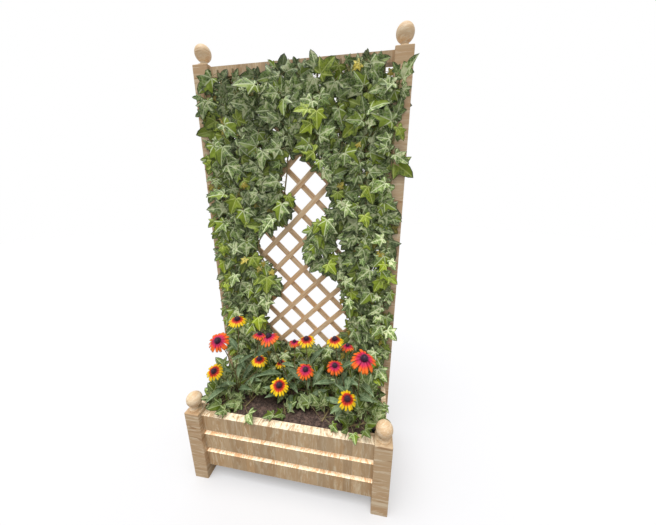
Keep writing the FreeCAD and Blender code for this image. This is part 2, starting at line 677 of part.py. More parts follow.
class Blade:
    """A leaf's outline in its own plane, to tell whether another leaf's edge runs through it."""

    STEP = 3.0
    GAP = 1.8

    def __init__(self, base, across, along, outline):
        self.base = base
        self.across = across
        self.along = along
        self.normal = across.cross(along)
        self.outline = outline
        self.edge = []
        for (x0, y0), (x1, y1) in zip(outline, [*outline[1:], outline[0]]):
            steps = math.ceil(math.hypot(x1 - x0, y1 - y0) / self.STEP)
            for step in range(steps):
                share = step / steps
                self.edge.append(base + across * (x0 + (x1 - x0) * share) + along * (y0 + (y1 - y0) * share))
        self.middle = base + along * (max(y for _, y in outline) / 2)
        self.radius = max(self.middle.distanceToPoint(point) for point in self.edge) + self.GAP

    def is_pierced(self, points):
        """True where one of the points lies on the leaf or as good as on it."""
        for point in points:
            offset = point - self.base
            is_level = abs(offset.dot(self.normal)) < self.GAP
            if is_level and self.holds(offset.dot(self.across), offset.dot(self.along)):
                return True
        return False

    def holds(self, x, y):
        """True for a point inside the outline."""
        inside = False
        for (x0, y0), (x1, y1) in zip(self.outline, [*self.outline[1:], self.outline[0]]):
            if (y0 > y) != (y1 > y) and x < x0 + (x1 - x0) * (y - y0) / (y1 - y0):
                inside = not inside
        return inside


def inside_soil(x, y, margin):
    """True over the cross-shaped soil, margin away from the liner."""
    wall = size.liner_thickness + size.liner_play + margin
    step = size.batten_side + size.screw_head_height + wall
    along = abs(x) < side_board_face - wall and abs(y) < inner_half_depth - step
    across = abs(x) < inner_half_width - step and abs(y) < long_board_face - wall
    return along or across


def is_free(point):
    """True where a leaf may be: clear of timber, soil and liner, and within the planter's outline."""
    x, y, z = point
    if abs(x) > size.overall_width / 2 or y < -size.overall_depth / 2 or z > top_rail_top + size.rail_height:
        return False
    if z < rim + 3:
        return z > soil_level + 2 and inside_soil(x, y, 3)
    if abs(x) > inner_half_width - 3 and (y > inner_half_depth - 3 or y < 3 - inner_half_depth):
        return False
    over_rail = z < bottom_rail_bottom + size.rail_height + 3 or z > top_rail_top - size.rail_height - 3
    behind = post_plane - size.rail_thickness / 2 if over_rail else post_plane - size.slat_thickness
    return y < behind - 1.5


# ------------------------------------------------------------------ growing things: stems
def rounded_wire(points, bend):
    """Straight runs joined by arcs that touch both runs."""
    edges = []
    start = points[0]
    for before, corner, after in zip(points, points[1:], points[2:]):
        back = (before - corner).normalize()
        ahead = (after - corner).normalize()
        half = (math.pi - back.getAngle(ahead)) / 2
        if half < 0.01:
            continue
        room = 0.45 * min(corner.distanceToPoint(before), corner.distanceToPoint(after))
        tangent = min(room, bend * math.tan(half))
        radius = tangent / math.tan(half)
        middle = (back + ahead).normalize()
        centre = corner + middle * (radius / math.cos(half))
        first = corner + back * tangent
        second = corner + ahead * tangent
        edges.append(Part.LineSegment(start, first).toShape())
        edges.append(Part.Arc(first, centre - middle * radius, second).toShape())
        start = second
    edges.append(Part.LineSegment(start, points[-1]).toShape())
    return Part.Wire(edges)


def stem(wire, diameter):
    """A round stem along a wire."""
    line = wire.discretize(Number=200)
    section = Part.Wire([Part.Circle(line[0], line[1] - line[0], diameter / 2).toShape()])
    solid = wire.makePipeShell([section], True, False)
    expected = math.pi * diameter ** 2 / 4 * wire.Length
    if abs(solid.Volume - expected) > 0.02 * expected:
        raise RuntimeError(f"a stem holds {solid.Volume:.0f} mm3 and should hold {expected:.0f} mm3")
    return solid


def points_along(wire, spacing):
    """Points on a wire with the direction the wire runs in there."""
    count = max(2, round(wire.Length / spacing))
    line = wire.discretize(Number=count * 2 + 1)
    return [(line[i], (line[i + 1] - line[i - 1]).normalize()) for i in range(1, 2 * count, 2)]


# ------------------------------------------------------------------ growing things: leaves
IVY_HALF = ((0.16, -0.12), (0.36, -0.06), (0.50, 0.16), (0.33, 0.26), (0.46, 0.56), (0.20, 0.50))
LANCE_HALF = ((0.05, 0.15), (0.11, 0.45), (0.07, 0.78))
STALK_WIDTH = 1.6


def unit_samples(half):
    """Points spread over a leaf of unit length, its outline included."""
    outline = [(0.0, 0.0), *half, (0.0, 1.0)]
    samples = []
    for (x0, y0), (x1, y1) in zip(outline, outline[1:]):
        for step in (0.0, 0.25, 0.5, 0.75):
            edge_x = x0 + (x1 - x0) * step
            edge_y = y0 + (y1 - y0) * step
            for share in (-1.0, -0.75, -0.5, -0.25, 0.0, 0.25, 0.5, 0.75, 1.0):
                samples.append((edge_x * share, edge_y))
    return sorted(set(samples))


class LeafShape:
    """A flat leaf with its stalk: an outline of unit length."""

    def __init__(self, half):
        self.half = half
        self.samples = unit_samples(half)

    def outline(self, length, stalk):
        right = [(STALK_WIDTH / 2, 0.0), (STALK_WIDTH / 2, stalk)]
        right += [(x * length, y * length + stalk) for x, y in self.half]
        left = [(-x, y) for x, y in reversed(right)]
        return [*right, (0.0, length + stalk), *left]

    def solid(self, base, along, normal, length, stalk):
        across = along.cross(normal)
        low = base - normal * (size.leaf_thickness / 2)
        corners = [low + across * x + along * y for x, y in self.outline(length, stalk)]
        face = Part.Face(Part.makePolygon([*corners, corners[0]]))
        return face.extrude(normal * size.leaf_thickness)

    def spots(self, base, along, normal, length, stalk):
        across = along.cross(normal)
        blade = [base + across * (x * length) + along * (y * length + stalk) for x, y in self.samples]
        steps = max(1, round(stalk / 5))
        return blade, [base + along * (stalk * step / steps) for step in range(steps)]


IVY_LEAF = LeafShape(IVY_HALF)
LANCE_LEAF = LeafShape(LANCE_HALF)


def face_towards(along, wish):
    """The direction square to along that lies nearest to wish."""
    return (wish - along * wish.dot(along)).normalize()


def grow_leaf(shape, thicket, anchor, run, reach, aim, wish, length, stalk, is_wanted=lambda points: True):
    """Place one leaf if there is room for it; aim is the way it points, wish the way it faces."""
    along = Vector(aim).normalize()
    slant = math.sin(along.getAngle(run))
    if slant < 0.35:
        return None
    base = anchor + along * ((reach + size.vine_play + STALK_WIDTH / 3) / slant)
    normal = face_towards(along, wish)
    blade, stalk_line = shape.spots(base, along, normal, length, stalk)
    if not is_wanted(blade) or not all(is_free(point) for point in [*blade, *stalk_line]):
        return None
    near = reach + size.foliage_clearance
    clear = [point for point in blade if point.distanceToPoint(anchor) > near]
    far_stalk = [point for point in stalk_line if point.distanceToPoint(anchor) > near]
    if not thicket.clears(clear + far_stalk):
        return None
    flat = Blade(base, along.cross(normal), along, shape.outline(length, stalk))
    if thicket.crosses(flat):
        return None
    thicket.add(blade + far_stalk, size.leaf_clearance)
    thicket.blades.append(flat)
    return shape.solid(base, along, normal, length, stalk)


# ------------------------------------------------------------------ climbing ivy
# routes of the stems: (share of the half width between the posts, share of the climb from soil to top rail)
CLIMBING_ROUTES = (
    ((-0.86, 0.0), (-0.93, 0.16), (-0.90, 0.45), (-0.93, 0.72), (-0.90, 0.99)),
    ((-0.73, 0.0), (-0.76, 0.20), (-0.71, 0.42), (-0.76, 0.66), (-0.72, 0.99)),
    ((-0.62, 0.0), (-0.66, 0.21), (-0.63, 0.28), (-0.43, 0.355), (-0.48, 0.415), (-0.60, 0.487), (-0.37, 0.567),
     (-0.20, 0.633), (-0.14, 0.72), (-0.115, 0.795), (-0.17, 0.97)),
    ((0.61, 0.0), (0.69, 0.21), (0.65, 0.28), (0.57, 0.34), (0.485, 0.40), (0.285, 0.443), (0.17, 0.495),
     (0.215, 0.56), (0.47, 0.604), (0.53, 0.64), (0.30, 0.70), (0.24, 0.75), (0.20, 0.81), (0.23, 0.97)),
    ((0.74, 0.0), (0.77, 0.20), (0.72, 0.45), (0.76, 0.70), (0.73, 0.99)),
    ((0.87, 0.0), (0.93, 0.17), (0.91, 0.48), (0.94, 0.75), (0.91, 0.99)),
    ((-0.47, 0.0), (-0.49, 0.12), (-0.46, 0.16)),
    ((-0.30, 0.0), (-0.28, 0.10), (-0.31, 0.12)),
    ((-0.12, 0.0), (-0.10, 0.09), (-0.12, 0.105)),
    ((0.06, 0.0), (0.08, 0.09), (0.06, 0.105)),
    ((0.25, 0.0), (0.23, 0.10), (0.26, 0.12)),
    ((0.43, 0.0), (0.45, 0.12), (0.42, 0.15)),
)
POST_ROUTES = (
    ((-0.90, 0.0), (-1.05, 0.16), (-1.06, 0.45), (-1.03, 0.72), (-1.06, 0.95)),
    ((0.90, 0.0), (1.05, 0.17), (1.06, 0.48), (1.03, 0.75), (1.06, 0.94)),
)
HANGING_ROUTES = (
    ((-0.43, 0.99), (-0.44, 0.84), (-0.41, 0.70), (-0.47, 0.58)),
    ((0.03, 0.99), (0.02, 0.92), (0.05, 0.865)),
    ((0.47, 0.99), (0.44, 0.88), (0.50, 0.78), (0.47, 0.70)),
)
# where the planter is looked at from: the open arch and the bare timber are laid out as seen from here
VIEWER = Vector(315, -915, 1219)
# edge of the open arch between the two sides of ivy: (share of the climb, share of the half width)
ARCH_LEFT = ((0.11, -0.03), (0.125, -0.26), (0.155, -0.45), (0.20, -0.62), (0.245, -0.58), (0.30, -0.46),
             (0.345, -0.30), (0.41, -0.46), (0.45, -0.62), (0.50, -0.62), (0.525, -0.70), (0.547, -0.31),
             (0.59, -0.15), (0.63, -0.08), (0.67, -0.25), (0.70, -0.27), (0.81, -0.16), (0.84, -0.03))
ARCH_RIGHT = ((0.11, -0.03), (0.15, 0.44), (0.185, 0.59), (0.225, 0.67), (0.255, 0.64), (0.305, 0.49), (0.38, 0.50),
              (0.40, 0.29), (0.417, 0.13), (0.475, 0.03), (0.54, 0.06), (0.57, 0.19), (0.63, 0.40), (0.69, 0.45),
              (0.70, 0.28), (0.735, 0.13), (0.78, 0.04), (0.84, 0.02))


def level_on(rise):
    return soil_level + rise * (top_rail_top - soil_level)


def edge_at(table, rise):
    """Where an edge of the arch is at a share of the climb."""
    for (low, near), (high, far) in zip(table, table[1:]):
        if low <= rise <= high:
            return inner_half_width * (near + (far - near) * (rise - low) / (high - low))
    return None


def hidden_point(point):
    """The point of the trellis plane that a point hides from the viewer."""
    return VIEWER + (point - VIEWER) * ((post_plane - VIEWER.y) / (point.y - VIEWER.y))


def in_arch(point):
    """True inside the open arch, where the lattice shows."""
    rise = (point.z - soil_level) / (top_rail_top - soil_level)
    left = edge_at(ARCH_LEFT, rise)
    right = edge_at(ARCH_RIGHT, rise)
    return left is not None and right is not None and left < point.x < right


def climbing_wire(route, foot, line):
    """A stem that rises from the soil at depth foot and leans back to the depth line."""
    start = Vector(route[0][0] * inner_half_width, foot, soil_level)
    points = [start, start + Vector(0, 0, 4 * size.vine_diameter),
              Vector(route[0][0] * inner_half_width, line, soil_level + 11 * size.vine_diameter)]
    points += [Vector(share * inner_half_width, line, level_on(rise)) for share, rise in route[1:]]
    return rounded_wire(points, 12 * size.vine_diameter)


def climbing_wires():
    """Stems up the trellis, stems up the two rear posts, and stems that hang from the top rail."""
    line = post_plane - size.rail_thickness / 2 - size.vine_play - size.vine_diameter / 2
    foot = long_board_face - size.liner_play - size.liner_thickness - size.vine_inset
    wires = [climbing_wire(route, foot, line) for route in CLIMBING_ROUTES]
    post_line = inner_half_depth - size.vine_play - size.vine_diameter / 2
    wires += [climbing_wire(route, foot - 3 * size.vine_diameter, post_line) for route in POST_ROUTES]
    for route in HANGING_ROUTES:
        points = [Vector(share * inner_half_width, line, level_on(rise)) for share, rise in route]
        wires.append(rounded_wire(points, 12 * size.vine_diameter))
    return wires


# least and greatest leaf length, round after round: the large leaves take their places first
CLIMBING_ROUNDS = ((70, 90), (62, 82), (54, 74), (46, 64), (38, 54), (26, 42))
SMALL_LEAF = 46
STRAY_SHARE = 0.2


def leaves_view_open(blade, is_stray):
    """True for a leaf that keeps the arch, the planter's outline and the bare timber in sight."""
    hidden = [hidden_point(point) for point in blade]
    if max(point.z for point in hidden) > top_rail_top + 0.45 * size.rail_height:
        return False
    if sum(map(in_arch, hidden)) > 0.25 * len(hidden):
        return False
    reach = size.overall_width / 2
    if any(point.z > top_rail_top - size.rail_height and point.x > inner_half_width - 0.5 * size.rail_height
           for point in hidden):
        return False
    if min(point.x for point in hidden) < -reach - 0.3 * size.rail_height:
        return is_stray and min(point.x for point in hidden) > -reach - size.rail_height
    if max(point.x for point in hidden) > reach - 0.6 * (reach - inner_half_width):
        return is_stray
    is_over_rail = max(point.z for point in hidden) > top_rail_top - size.rail_height
    if is_over_rail and hidden[0].x < -0.2 * inner_half_width:
        return is_stray
    return True


def grow_climbing_leaves(thicket, wires, chance, groups):
    """Leaves on both sides of every climbing stem; groups collects them by kind."""
    front = Vector(0, -1, 0)
    down = Vector(0, 0, -1)
    reach = size.vine_diameter / 2
    side = 1
    for shortest, longest in CLIMBING_ROUNDS:
        for wire in wires:
            for anchor, run in points_along(wire, size.leaf_spacing):
                if anchor.z < soil_level + 4 * size.vine_diameter:
                    continue
                side = -side
                rise = (anchor.z - soil_level) / (top_rail_top - soil_level)
                is_stray = chance.random() < STRAY_SHARE
                for _ in range(12):
                    length = chance.uniform(shortest, longest) * (0.76 + 0.24 * rise)
                    forward = chance.choice((chance.uniform(0.1, 0.4), chance.uniform(0.35, 0.9)))
                    aim = (run.cross(front) * (side * chance.uniform(0.1, 1.0)) + front * forward
                           + down * chance.uniform(-0.25, 0.95))
                    wish = Vector(chance.uniform(-0.1, 0.5), -1,
                                  0.65 - 0.75 * rise + chance.uniform(-0.25, 0.25))
                    leaf = grow_leaf(IVY_LEAF, thicket, anchor, run, reach, aim, wish, length,
                                     chance.uniform(8, 42), lambda blade: leaves_view_open(blade, is_stray))
                    if leaf is None:
                        continue
                    kinds, weights = ((("variegated", "olive"), (5, 1)) if longest > SMALL_LEAF
                                      else (("young", "yellow"), (3, 2)))
                    groups[chance.choices(kinds, weights)[0]].append(leaf)
                    break


# ------------------------------------------------------------------ ivy on the soil
# shares of the half width between the posts and of the half depth between the boards
RUNNER_ROUTES = (
    ((-0.91, -0.68), (-0.83, -0.41), (-0.88, 0.14), (-1.0, 0.50)),
    ((-0.57, -0.68), (-0.51, -0.14), (-0.66, 0.41), (-0.80, 0.70)),
    ((-0.46, 0.50), (-0.17, 0.70), (0.11, 0.50), (0.40, 0.72)),
    ((0.40, -0.75), (0.47, -0.20), (0.43, 0.27), (0.66, 0.68)),
    ((0.71, -0.75), (0.90, -0.61), (0.91, -0.14), (0.83, 0.27), (1.0, 0.50)),
    ((-0.31, 0.27), (-0.06, 0.31), (0.26, 0.20)),
    ((-0.13, -0.28), (-0.05, -0.70)),
    ((-0.93, -0.28), (-0.80, -0.60), (-0.64, -0.76)),
)


def runner_wires():
    level = soil_level + size.vine_play + size.vine_diameter / 2
    wires = []
    for route in RUNNER_ROUTES:
        points = [Vector(share * inner_half_width, depth * long_board_face, level) for share, depth in route]
        wires.append(rounded_wire(points, 10 * size.vine_diameter))
    return wires


# patches of soil that show between the leaves: middle and half sizes, as shares of half width and half depth
BARE_SOIL = ((-0.39, -0.34, 0.31, 0.34), (0.29, -0.51, 0.26, 0.26))


def over_bare_soil(point):
    """True for a point that hides one of the bare patches of soil from the viewer."""
    seen = VIEWER + (point - VIEWER) * ((soil_level - VIEWER.z) / (point.z - VIEWER.z))
    return any(((seen.x / inner_half_width - across) / half_across) ** 2
               + ((seen.y / long_board_face - depth) / half_depth) ** 2 < 1
               for across, depth, half_across, half_depth in BARE_SOIL)


GROUND_ROUNDS = ((50, 64), (42, 56), (36, 48), (30, 42), (24, 34))


def grow_ground_leaves(thicket, wires, chance):
    """Leaves that stand up from the stems on the soil."""
    up = Vector(0, 0, 1)
    reach = size.vine_diameter / 2
    leaves = []
    side = 1
    for shortest, longest in GROUND_ROUNDS:
        for wire in wires:
            for anchor, run in points_along(wire, size.runner_leaf_spacing):
                side = -side
                for _ in range(12):
                    aim = (run.cross(up) * (side * chance.uniform(0.1, 1.0)) + up * chance.uniform(0.25, 1.1)
                           + Vector(chance.uniform(-0.3, 0.3), chance.uniform(-0.6, 0.1), 0))
                    wish = Vector(chance.uniform(-0.2, 0.4), chance.uniform(-1.0, -0.5), 0.9)
                    leaf = grow_leaf(IVY_LEAF, thicket, anchor, run, reach, aim, wish,
                                     chance.uniform(shortest, longest), chance.uniform(10, 80),
                                     lambda blade: sum(map(over_bare_soil, blade)) < 0.25 * len(blade))
                    if leaf is not None:
                        leaves.append(leaf)
                        break
    return leaves


# ------------------------------------------------------------------ flowers
# clumps on the soil: shares of the half width and of the half depth
CLUMPS = {"far_left": (-0.73, -0.27), "left": (-0.06, 0.02), "middle": (0.20, -0.18), "right": (0.61, -0.18),
          "far_right": (0.77, -0.32)}
# kind, clump, where the head is (two shares, height above the soil), its diameter, the way it faces
FLOWERS = (
    ("red_yellow", "far_left", -0.73, 0.02, 364, 79, (0.11, -0.17, 0.98)),
    ("pink_orange", "far_left", -0.83, -0.66, 316, 87, (0.09, -0.56, 0.82)),
    ("red_yellow", "far_left", -0.89, -0.8, 184, 72, (0.1, -0.55, 0.83)),
    ("pink_orange", "far_left", -0.52, 0.36, 268, 65, (0.15, 0.11, 0.98)),
    ("pink_orange", "left", -0.3, -0.12, 308, 85, (-0.26, -0.09, 0.96)),
    ("red_yellow", "far_left", -0.45, -0.12, 190, 73, (0.07, -0.14, 0.99)),
    ("red_yellow", "left", -0.23, 0.23, 146, 60, (-0.21, -0.06, 0.98)),
    ("pink_orange", "left", -0.08, 0.57, 228, 56, (0.02, -0.06, 1.0)),
    ("red_yellow", "middle", 0.15, 0.02, 302, 75, (0.05, -0.18, 0.98)),
    ("red_yellow", "right", 0.49, 0.09, 308, 75, (-0.09, -0.12, 0.99)),
    ("pink_orange", "far_right", 0.63, 0.43, 250, 61, (-0.01, 0.06, 1.0)),
    ("pink_orange", "far_right", 0.85, -0.66, 310, 97, (0.15, -0.36, 0.92)),
    ("pink_orange", "right", 0.51, -0.18, 210, 72, (0.05, -0.34, 0.94)),
    ("pink_orange", "middle", 0.17, -0.32, 190, 75, (0.11, -0.38, 0.92)),
    ("red_yellow", "left", -0.11, -0.66, 140, 80, (0.12, -0.41, 0.9)),
    ("red_yellow", "right", 0.69, -0.8, 140, 76, (0.06, -0.43, 0.9)),
)


# share of a head's radius that is flat, under the cone; the petals droop outside it
FLAT_SHARE = 0.34


def petal_ring(back, facing, diameter):
    """A ring of petals, notched between each two, that droops outside its flat middle."""
    plane = FreeCAD.Rotation(Vector(0, 0, 1), facing)
    slope = math.tan(math.radians(PETAL_DROOP))

    def place(share, angle, level=0.0):
        reach = share * diameter / 2
        drop = slope * max(0.0, share - FLAT_SHARE) * diameter / 2
        return back + plane.multVec(Vector(reach * math.cos(angle), reach * math.sin(angle), level - drop))

    def patch(*corners):
        return Part.Face(Part.makePolygon([*corners, corners[0]]))

    marks = [(reach, 2 * math.pi * (index + share) / PETAL_COUNT) for index in range(PETAL_COUNT)
             for share, reach in ((-0.5, 0.52), (-0.33, 0.96), (0.0, 1.0), (0.33, 0.96))]
    sheets = [([place(FLAT_SHARE, angle, level) for _, angle in marks],
               [place(reach, angle, level) for reach, angle in marks]) for level in (0.0, size.petal_thickness)]
    faces = [patch(*inner) for inner, _ in sheets]
    low, high = sheets[0][1], sheets[1][1]
    for index in range(len(marks)):
        after = (index + 1) % len(marks)
        for inner, outer in sheets:
            faces.append(patch(inner[index], outer[index], outer[after]))
            faces.append(patch(inner[index], outer[after], inner[after]))
        faces.append(patch(low[index], low[after], high[after], high[index]))
    ring = Part.Solid(Part.Shell(faces))
    if ring.Volume < 0:
        ring.reverse()
    spots = [place(share, 2 * math.pi * index / round(30 * share)) for share in (0.2, 0.4, 0.6, 0.8, 1.0)
             for index in range(round(30 * share))]
    return ring, spots


def flower_cone(front, facing, diameter):
    """The dome in the middle of a head: a slice of a ball, its flat side on the petals."""
    radius = size.cone_diameter / 2 * diameter / 76
    height = size.cone_height * diameter / 76
    ball = (radius ** 2 + height ** 2) / (2 * height)
    below = math.degrees(math.asin((ball - height) / ball))
    dome = Part.makeSphere(ball, Vector(), Vector(0, 0, 1), below, 90, 360)
    middle = front + facing * (height - ball)
    dome.Placement = FreeCAD.Placement(middle, FreeCAD.Rotation(Vector(0, 0, 1), facing))
    return dome


def clump_places(clump):
    """Where the stems of a clump leave the soil: on a small ring, in the order of their heads."""
    across, depth = CLUMPS[clump]
    middle = Vector(across * inner_half_width, depth * long_board_face, soil_level)
    heads = [(index, math.atan2(flower[3] * long_board_face - middle.y,
                                flower[2] * inner_half_width - middle.x))
             for index, flower in enumerate(FLOWERS) if flower[1] == clump]
    heads.sort(key=lambda item: item[1])
    ring = 3.6 * size.flower_stem_diameter
    places = {}
    for order, (index, _) in enumerate(heads):
        angle = heads[0][1] + 2 * math.pi * order / len(heads)
        places[index] = middle + Vector(ring * math.cos(angle), ring * math.sin(angle), 0)
    return places


def grow_flowers(thicket):
    """Stems, petals and cones of every flower."""
    places = {}
    for clump in CLUMPS:
        places.update(clump_places(clump))
    grown = {"flower_stems": [], "red_yellow": [], "pink_orange": [], "flower_cones": []}
    wires = []
    for index, (kind, _, across, depth, height, diameter, faces) in enumerate(FLOWERS):
        facing = Vector(*faces).normalize()
        back = Vector(across * inner_half_width, depth * long_board_face, soil_level + height)
        petals, spots = petal_ring(back, facing, diameter)
        thicket.add(spots, size.foliage_clearance)
        grown[kind].append(petals)
        grown["flower_cones"].append(flower_cone(back + facing * size.petal_thickness, facing, diameter))
        foot = places[index]
        end = back - facing * size.vine_play
        points = [foot, foot + Vector(0, 0, 0.3 * height), end - facing * (0.28 * height), end]
        wire = rounded_wire(points, 0.5 * height)
        wires.append(wire)
        grown["flower_stems"].append(stem(wire, size.flower_stem_diameter))
        thicket.add(wire.discretize(Distance=4), size.foliage_clearance)
    return grown, wires


def grow_lance_leaves(thicket, wires, chance):
    leaves = []
    reach = size.flower_stem_diameter / 2
    for wire in wires:
        stations = points_along(wire, wire.Length / 6)
        for anchor, run in stations[1:4]:
            turn = chance.uniform(0, 2 * math.pi)
            for _ in range(12):
                turn += 2.4
                aim = Vector(math.cos(turn), math.sin(turn), chance.uniform(0.2, 0.8))
                wish = Vector(0, -0.4, 1)
                leaf = grow_leaf(LANCE_LEAF, thicket, anchor, run, reach, aim, wish, chance.uniform(70, 110), 4,
                                 lambda blade: all(abs(point.x) < inner_half_width for point in blade))
                if leaf is not None:
                    leaves.append(leaf)
                    break
    return leaves


def make_plants():
    chance = random.Random(17)
    thicket = Thicket()
    flowers, flower_wires = grow_flowers(thicket)
    climbing = climbing_wires()
    runners = runner_wires()
    for wire in climbing + runners:
        thicket.add(wire.discretize(Distance=4), size.foliage_clearance)
    feature("ivy_climbing_stems", [stem(wire, size.vine_diameter) for wire in climbing])
    feature("ivy_runners", [stem(wire, size.vine_diameter) for wire in runners])
    feature("flower_stems", flowers["flower_stems"])
    feature("flower_lance_leaves", grow_lance_leaves(thicket, flower_wires, chance))
    feature("flower_petals_red_yellow", flowers["red_yellow"])
    feature("flower_petals_pink_orange", flowers["pink_orange"])
    feature("flower_cones", flowers["flower_cones"])
    groups = {"variegated": [], "olive": [], "yellow": [], "young": []}
    grow_climbing_leaves(thicket, climbing, chance, groups)
    for kind, leaves in groups.items():
        feature(f"ivy_leaves_{kind}", leaves)
    feature("ivy_ground_leaves", grow_ground_leaves(thicket, runners, chance))


# ------------------------------------------------------------------ build, check and write
def check_and_write():
    document.recompute()
    failed = [item.Name for item in document.Objects if {"Invalid", "Error"} & set(item.State)]
    for node, item in nodes.items():
        if item.Shape.isNull() or not item.Shape.isValid() or not item.Shape.Solids:
            failed.append(node)
    if failed:
        raise RuntimeError(f"these pieces failed: {failed}")
    os.makedirs(PARTS_FOLDER, exist_ok=True)
    for node, item in nodes.items():
        item.Shape.exportStep(os.path.join(PARTS_FOLDER, f"{node}.step"))
        print(f"{node}: {len(item.Shape.Solids)} solid(s), {item.Shape.Volume / 1000:.1f} cm3")


make_frame()
make_plants()
check_and_write()
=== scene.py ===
"""Looks of a timber planter with a trellis, climbing ivy and cone flowers, dressed around its solids.

Metres. X runs along the front of the box, Y from the front to the trellis, Z up, the ground at 0.
"""

import json
import logging
import math
import random
from dataclasses import dataclass, field
from enum import Enum
from typing import Any, Sequence

import bmesh
import bpy
import numpy as np
from mathutils import Matrix, Vector

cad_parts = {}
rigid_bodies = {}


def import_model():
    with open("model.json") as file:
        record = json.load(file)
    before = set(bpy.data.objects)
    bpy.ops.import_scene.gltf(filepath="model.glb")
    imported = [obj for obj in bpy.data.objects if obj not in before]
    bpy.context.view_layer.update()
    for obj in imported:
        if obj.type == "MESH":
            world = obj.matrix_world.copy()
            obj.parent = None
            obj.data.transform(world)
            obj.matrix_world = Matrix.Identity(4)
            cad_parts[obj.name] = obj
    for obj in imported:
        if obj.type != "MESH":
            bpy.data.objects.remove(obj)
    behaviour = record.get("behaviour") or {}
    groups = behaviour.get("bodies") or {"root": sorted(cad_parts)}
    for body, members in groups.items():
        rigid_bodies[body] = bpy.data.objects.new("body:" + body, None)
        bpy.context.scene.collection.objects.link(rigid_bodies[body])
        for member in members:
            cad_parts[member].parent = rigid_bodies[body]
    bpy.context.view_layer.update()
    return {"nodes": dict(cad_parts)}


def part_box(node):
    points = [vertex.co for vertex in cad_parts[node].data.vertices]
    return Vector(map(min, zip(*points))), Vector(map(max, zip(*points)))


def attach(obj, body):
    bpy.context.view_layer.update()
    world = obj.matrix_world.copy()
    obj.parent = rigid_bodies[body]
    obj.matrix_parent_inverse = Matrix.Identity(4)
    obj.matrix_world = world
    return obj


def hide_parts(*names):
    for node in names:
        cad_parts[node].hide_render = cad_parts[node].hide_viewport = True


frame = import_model()

ROOT = "root"
LOG = logging.getLogger("planter")
Colour = tuple[float, float, float, float]


def ink(red: int, green: int, blue: int) -> Colour:
    """Turn a screen colour into the linear one that shaders take.

    Args:
        red: red from 0 to 255.
        green: green from 0 to 255.
        blue: blue from 0 to 255.

    Returns:
        The linear colour with full alpha.
    """
    linear = [
        value / 12.92 if value <= 0.04045 else ((value + 0.055) / 1.055) ** 2.4
        for value in (red / 255, green / 255, blue / 255)
    ]
    return (linear[0], linear[1], linear[2], 1.0)


# ---------------------------------------------------------------- shader graphs
UV_SCALE = 0.62
UV_MIDDLE = (0.5, 0.22)
WHITE: Colour = (1.0, 1.0, 1.0, 1.0)
BLACK: Colour = (0.0, 0.0, 0.0, 1.0)


class Sock:
    """A shader socket that takes part in Python arithmetic."""

    def __init__(self, graph: "Graph", socket: bpy.types.NodeSocket) -> None:
        """Keep the graph and the socket."""
        self.graph = graph
        self.socket = socket

    def other(self, output: int | str) -> "Sock":
        """Another output of the same node."""
        return Sock(self.graph, self.socket.node.outputs[output])

    def _math(self, operation: str, first: Any, second: Any = 0.0) -> "Sock":
        """One Math node."""
        return self.graph.node("ShaderNodeMath", {"operation": operation}, {0: first, 1: second})

    def __add__(self, other: Any) -> "Sock":
        """Self plus other."""
        return self._math("ADD", self, other)

    __radd__ = __add__

    def __sub__(self, other: Any) -> "Sock":
        """Self minus other."""
        return self._math("SUBTRACT", self, other)

    def __rsub__(self, other: Any) -> "Sock":
        """Other minus self."""
        return self._math("SUBTRACT", other, self)

    def __mul__(self, other: Any) -> "Sock":
        """Self times other."""
        return self._math("MULTIPLY", self, other)

    __rmul__ = __mul__

    def __truediv__(self, other: Any) -> "Sock":
        """Self over other."""
        return self._math("DIVIDE", self, other)

    def __abs__(self) -> "Sock":
        """Size of the value."""
        return self._math("ABSOLUTE", self)

    def fraction(self) -> "Sock":
        """What is left of the value above its whole part."""
        return self._math("FRACT", self)

    def floor(self) -> "Sock":
        """Whole part of the value."""
        return self._math("FLOOR", self)

    def least(self, other: Any) -> "Sock":
        """The smaller of two values."""
        return self._math("MINIMUM", self, other)

    def most(self, other: Any) -> "Sock":
        """The larger of two values."""
        return self._math("MAXIMUM", self, other)

    def above(self, other: Any) -> "Sock":
        """1 where the value is above other, else 0."""
        return self._math("GREATER_THAN", self, other)


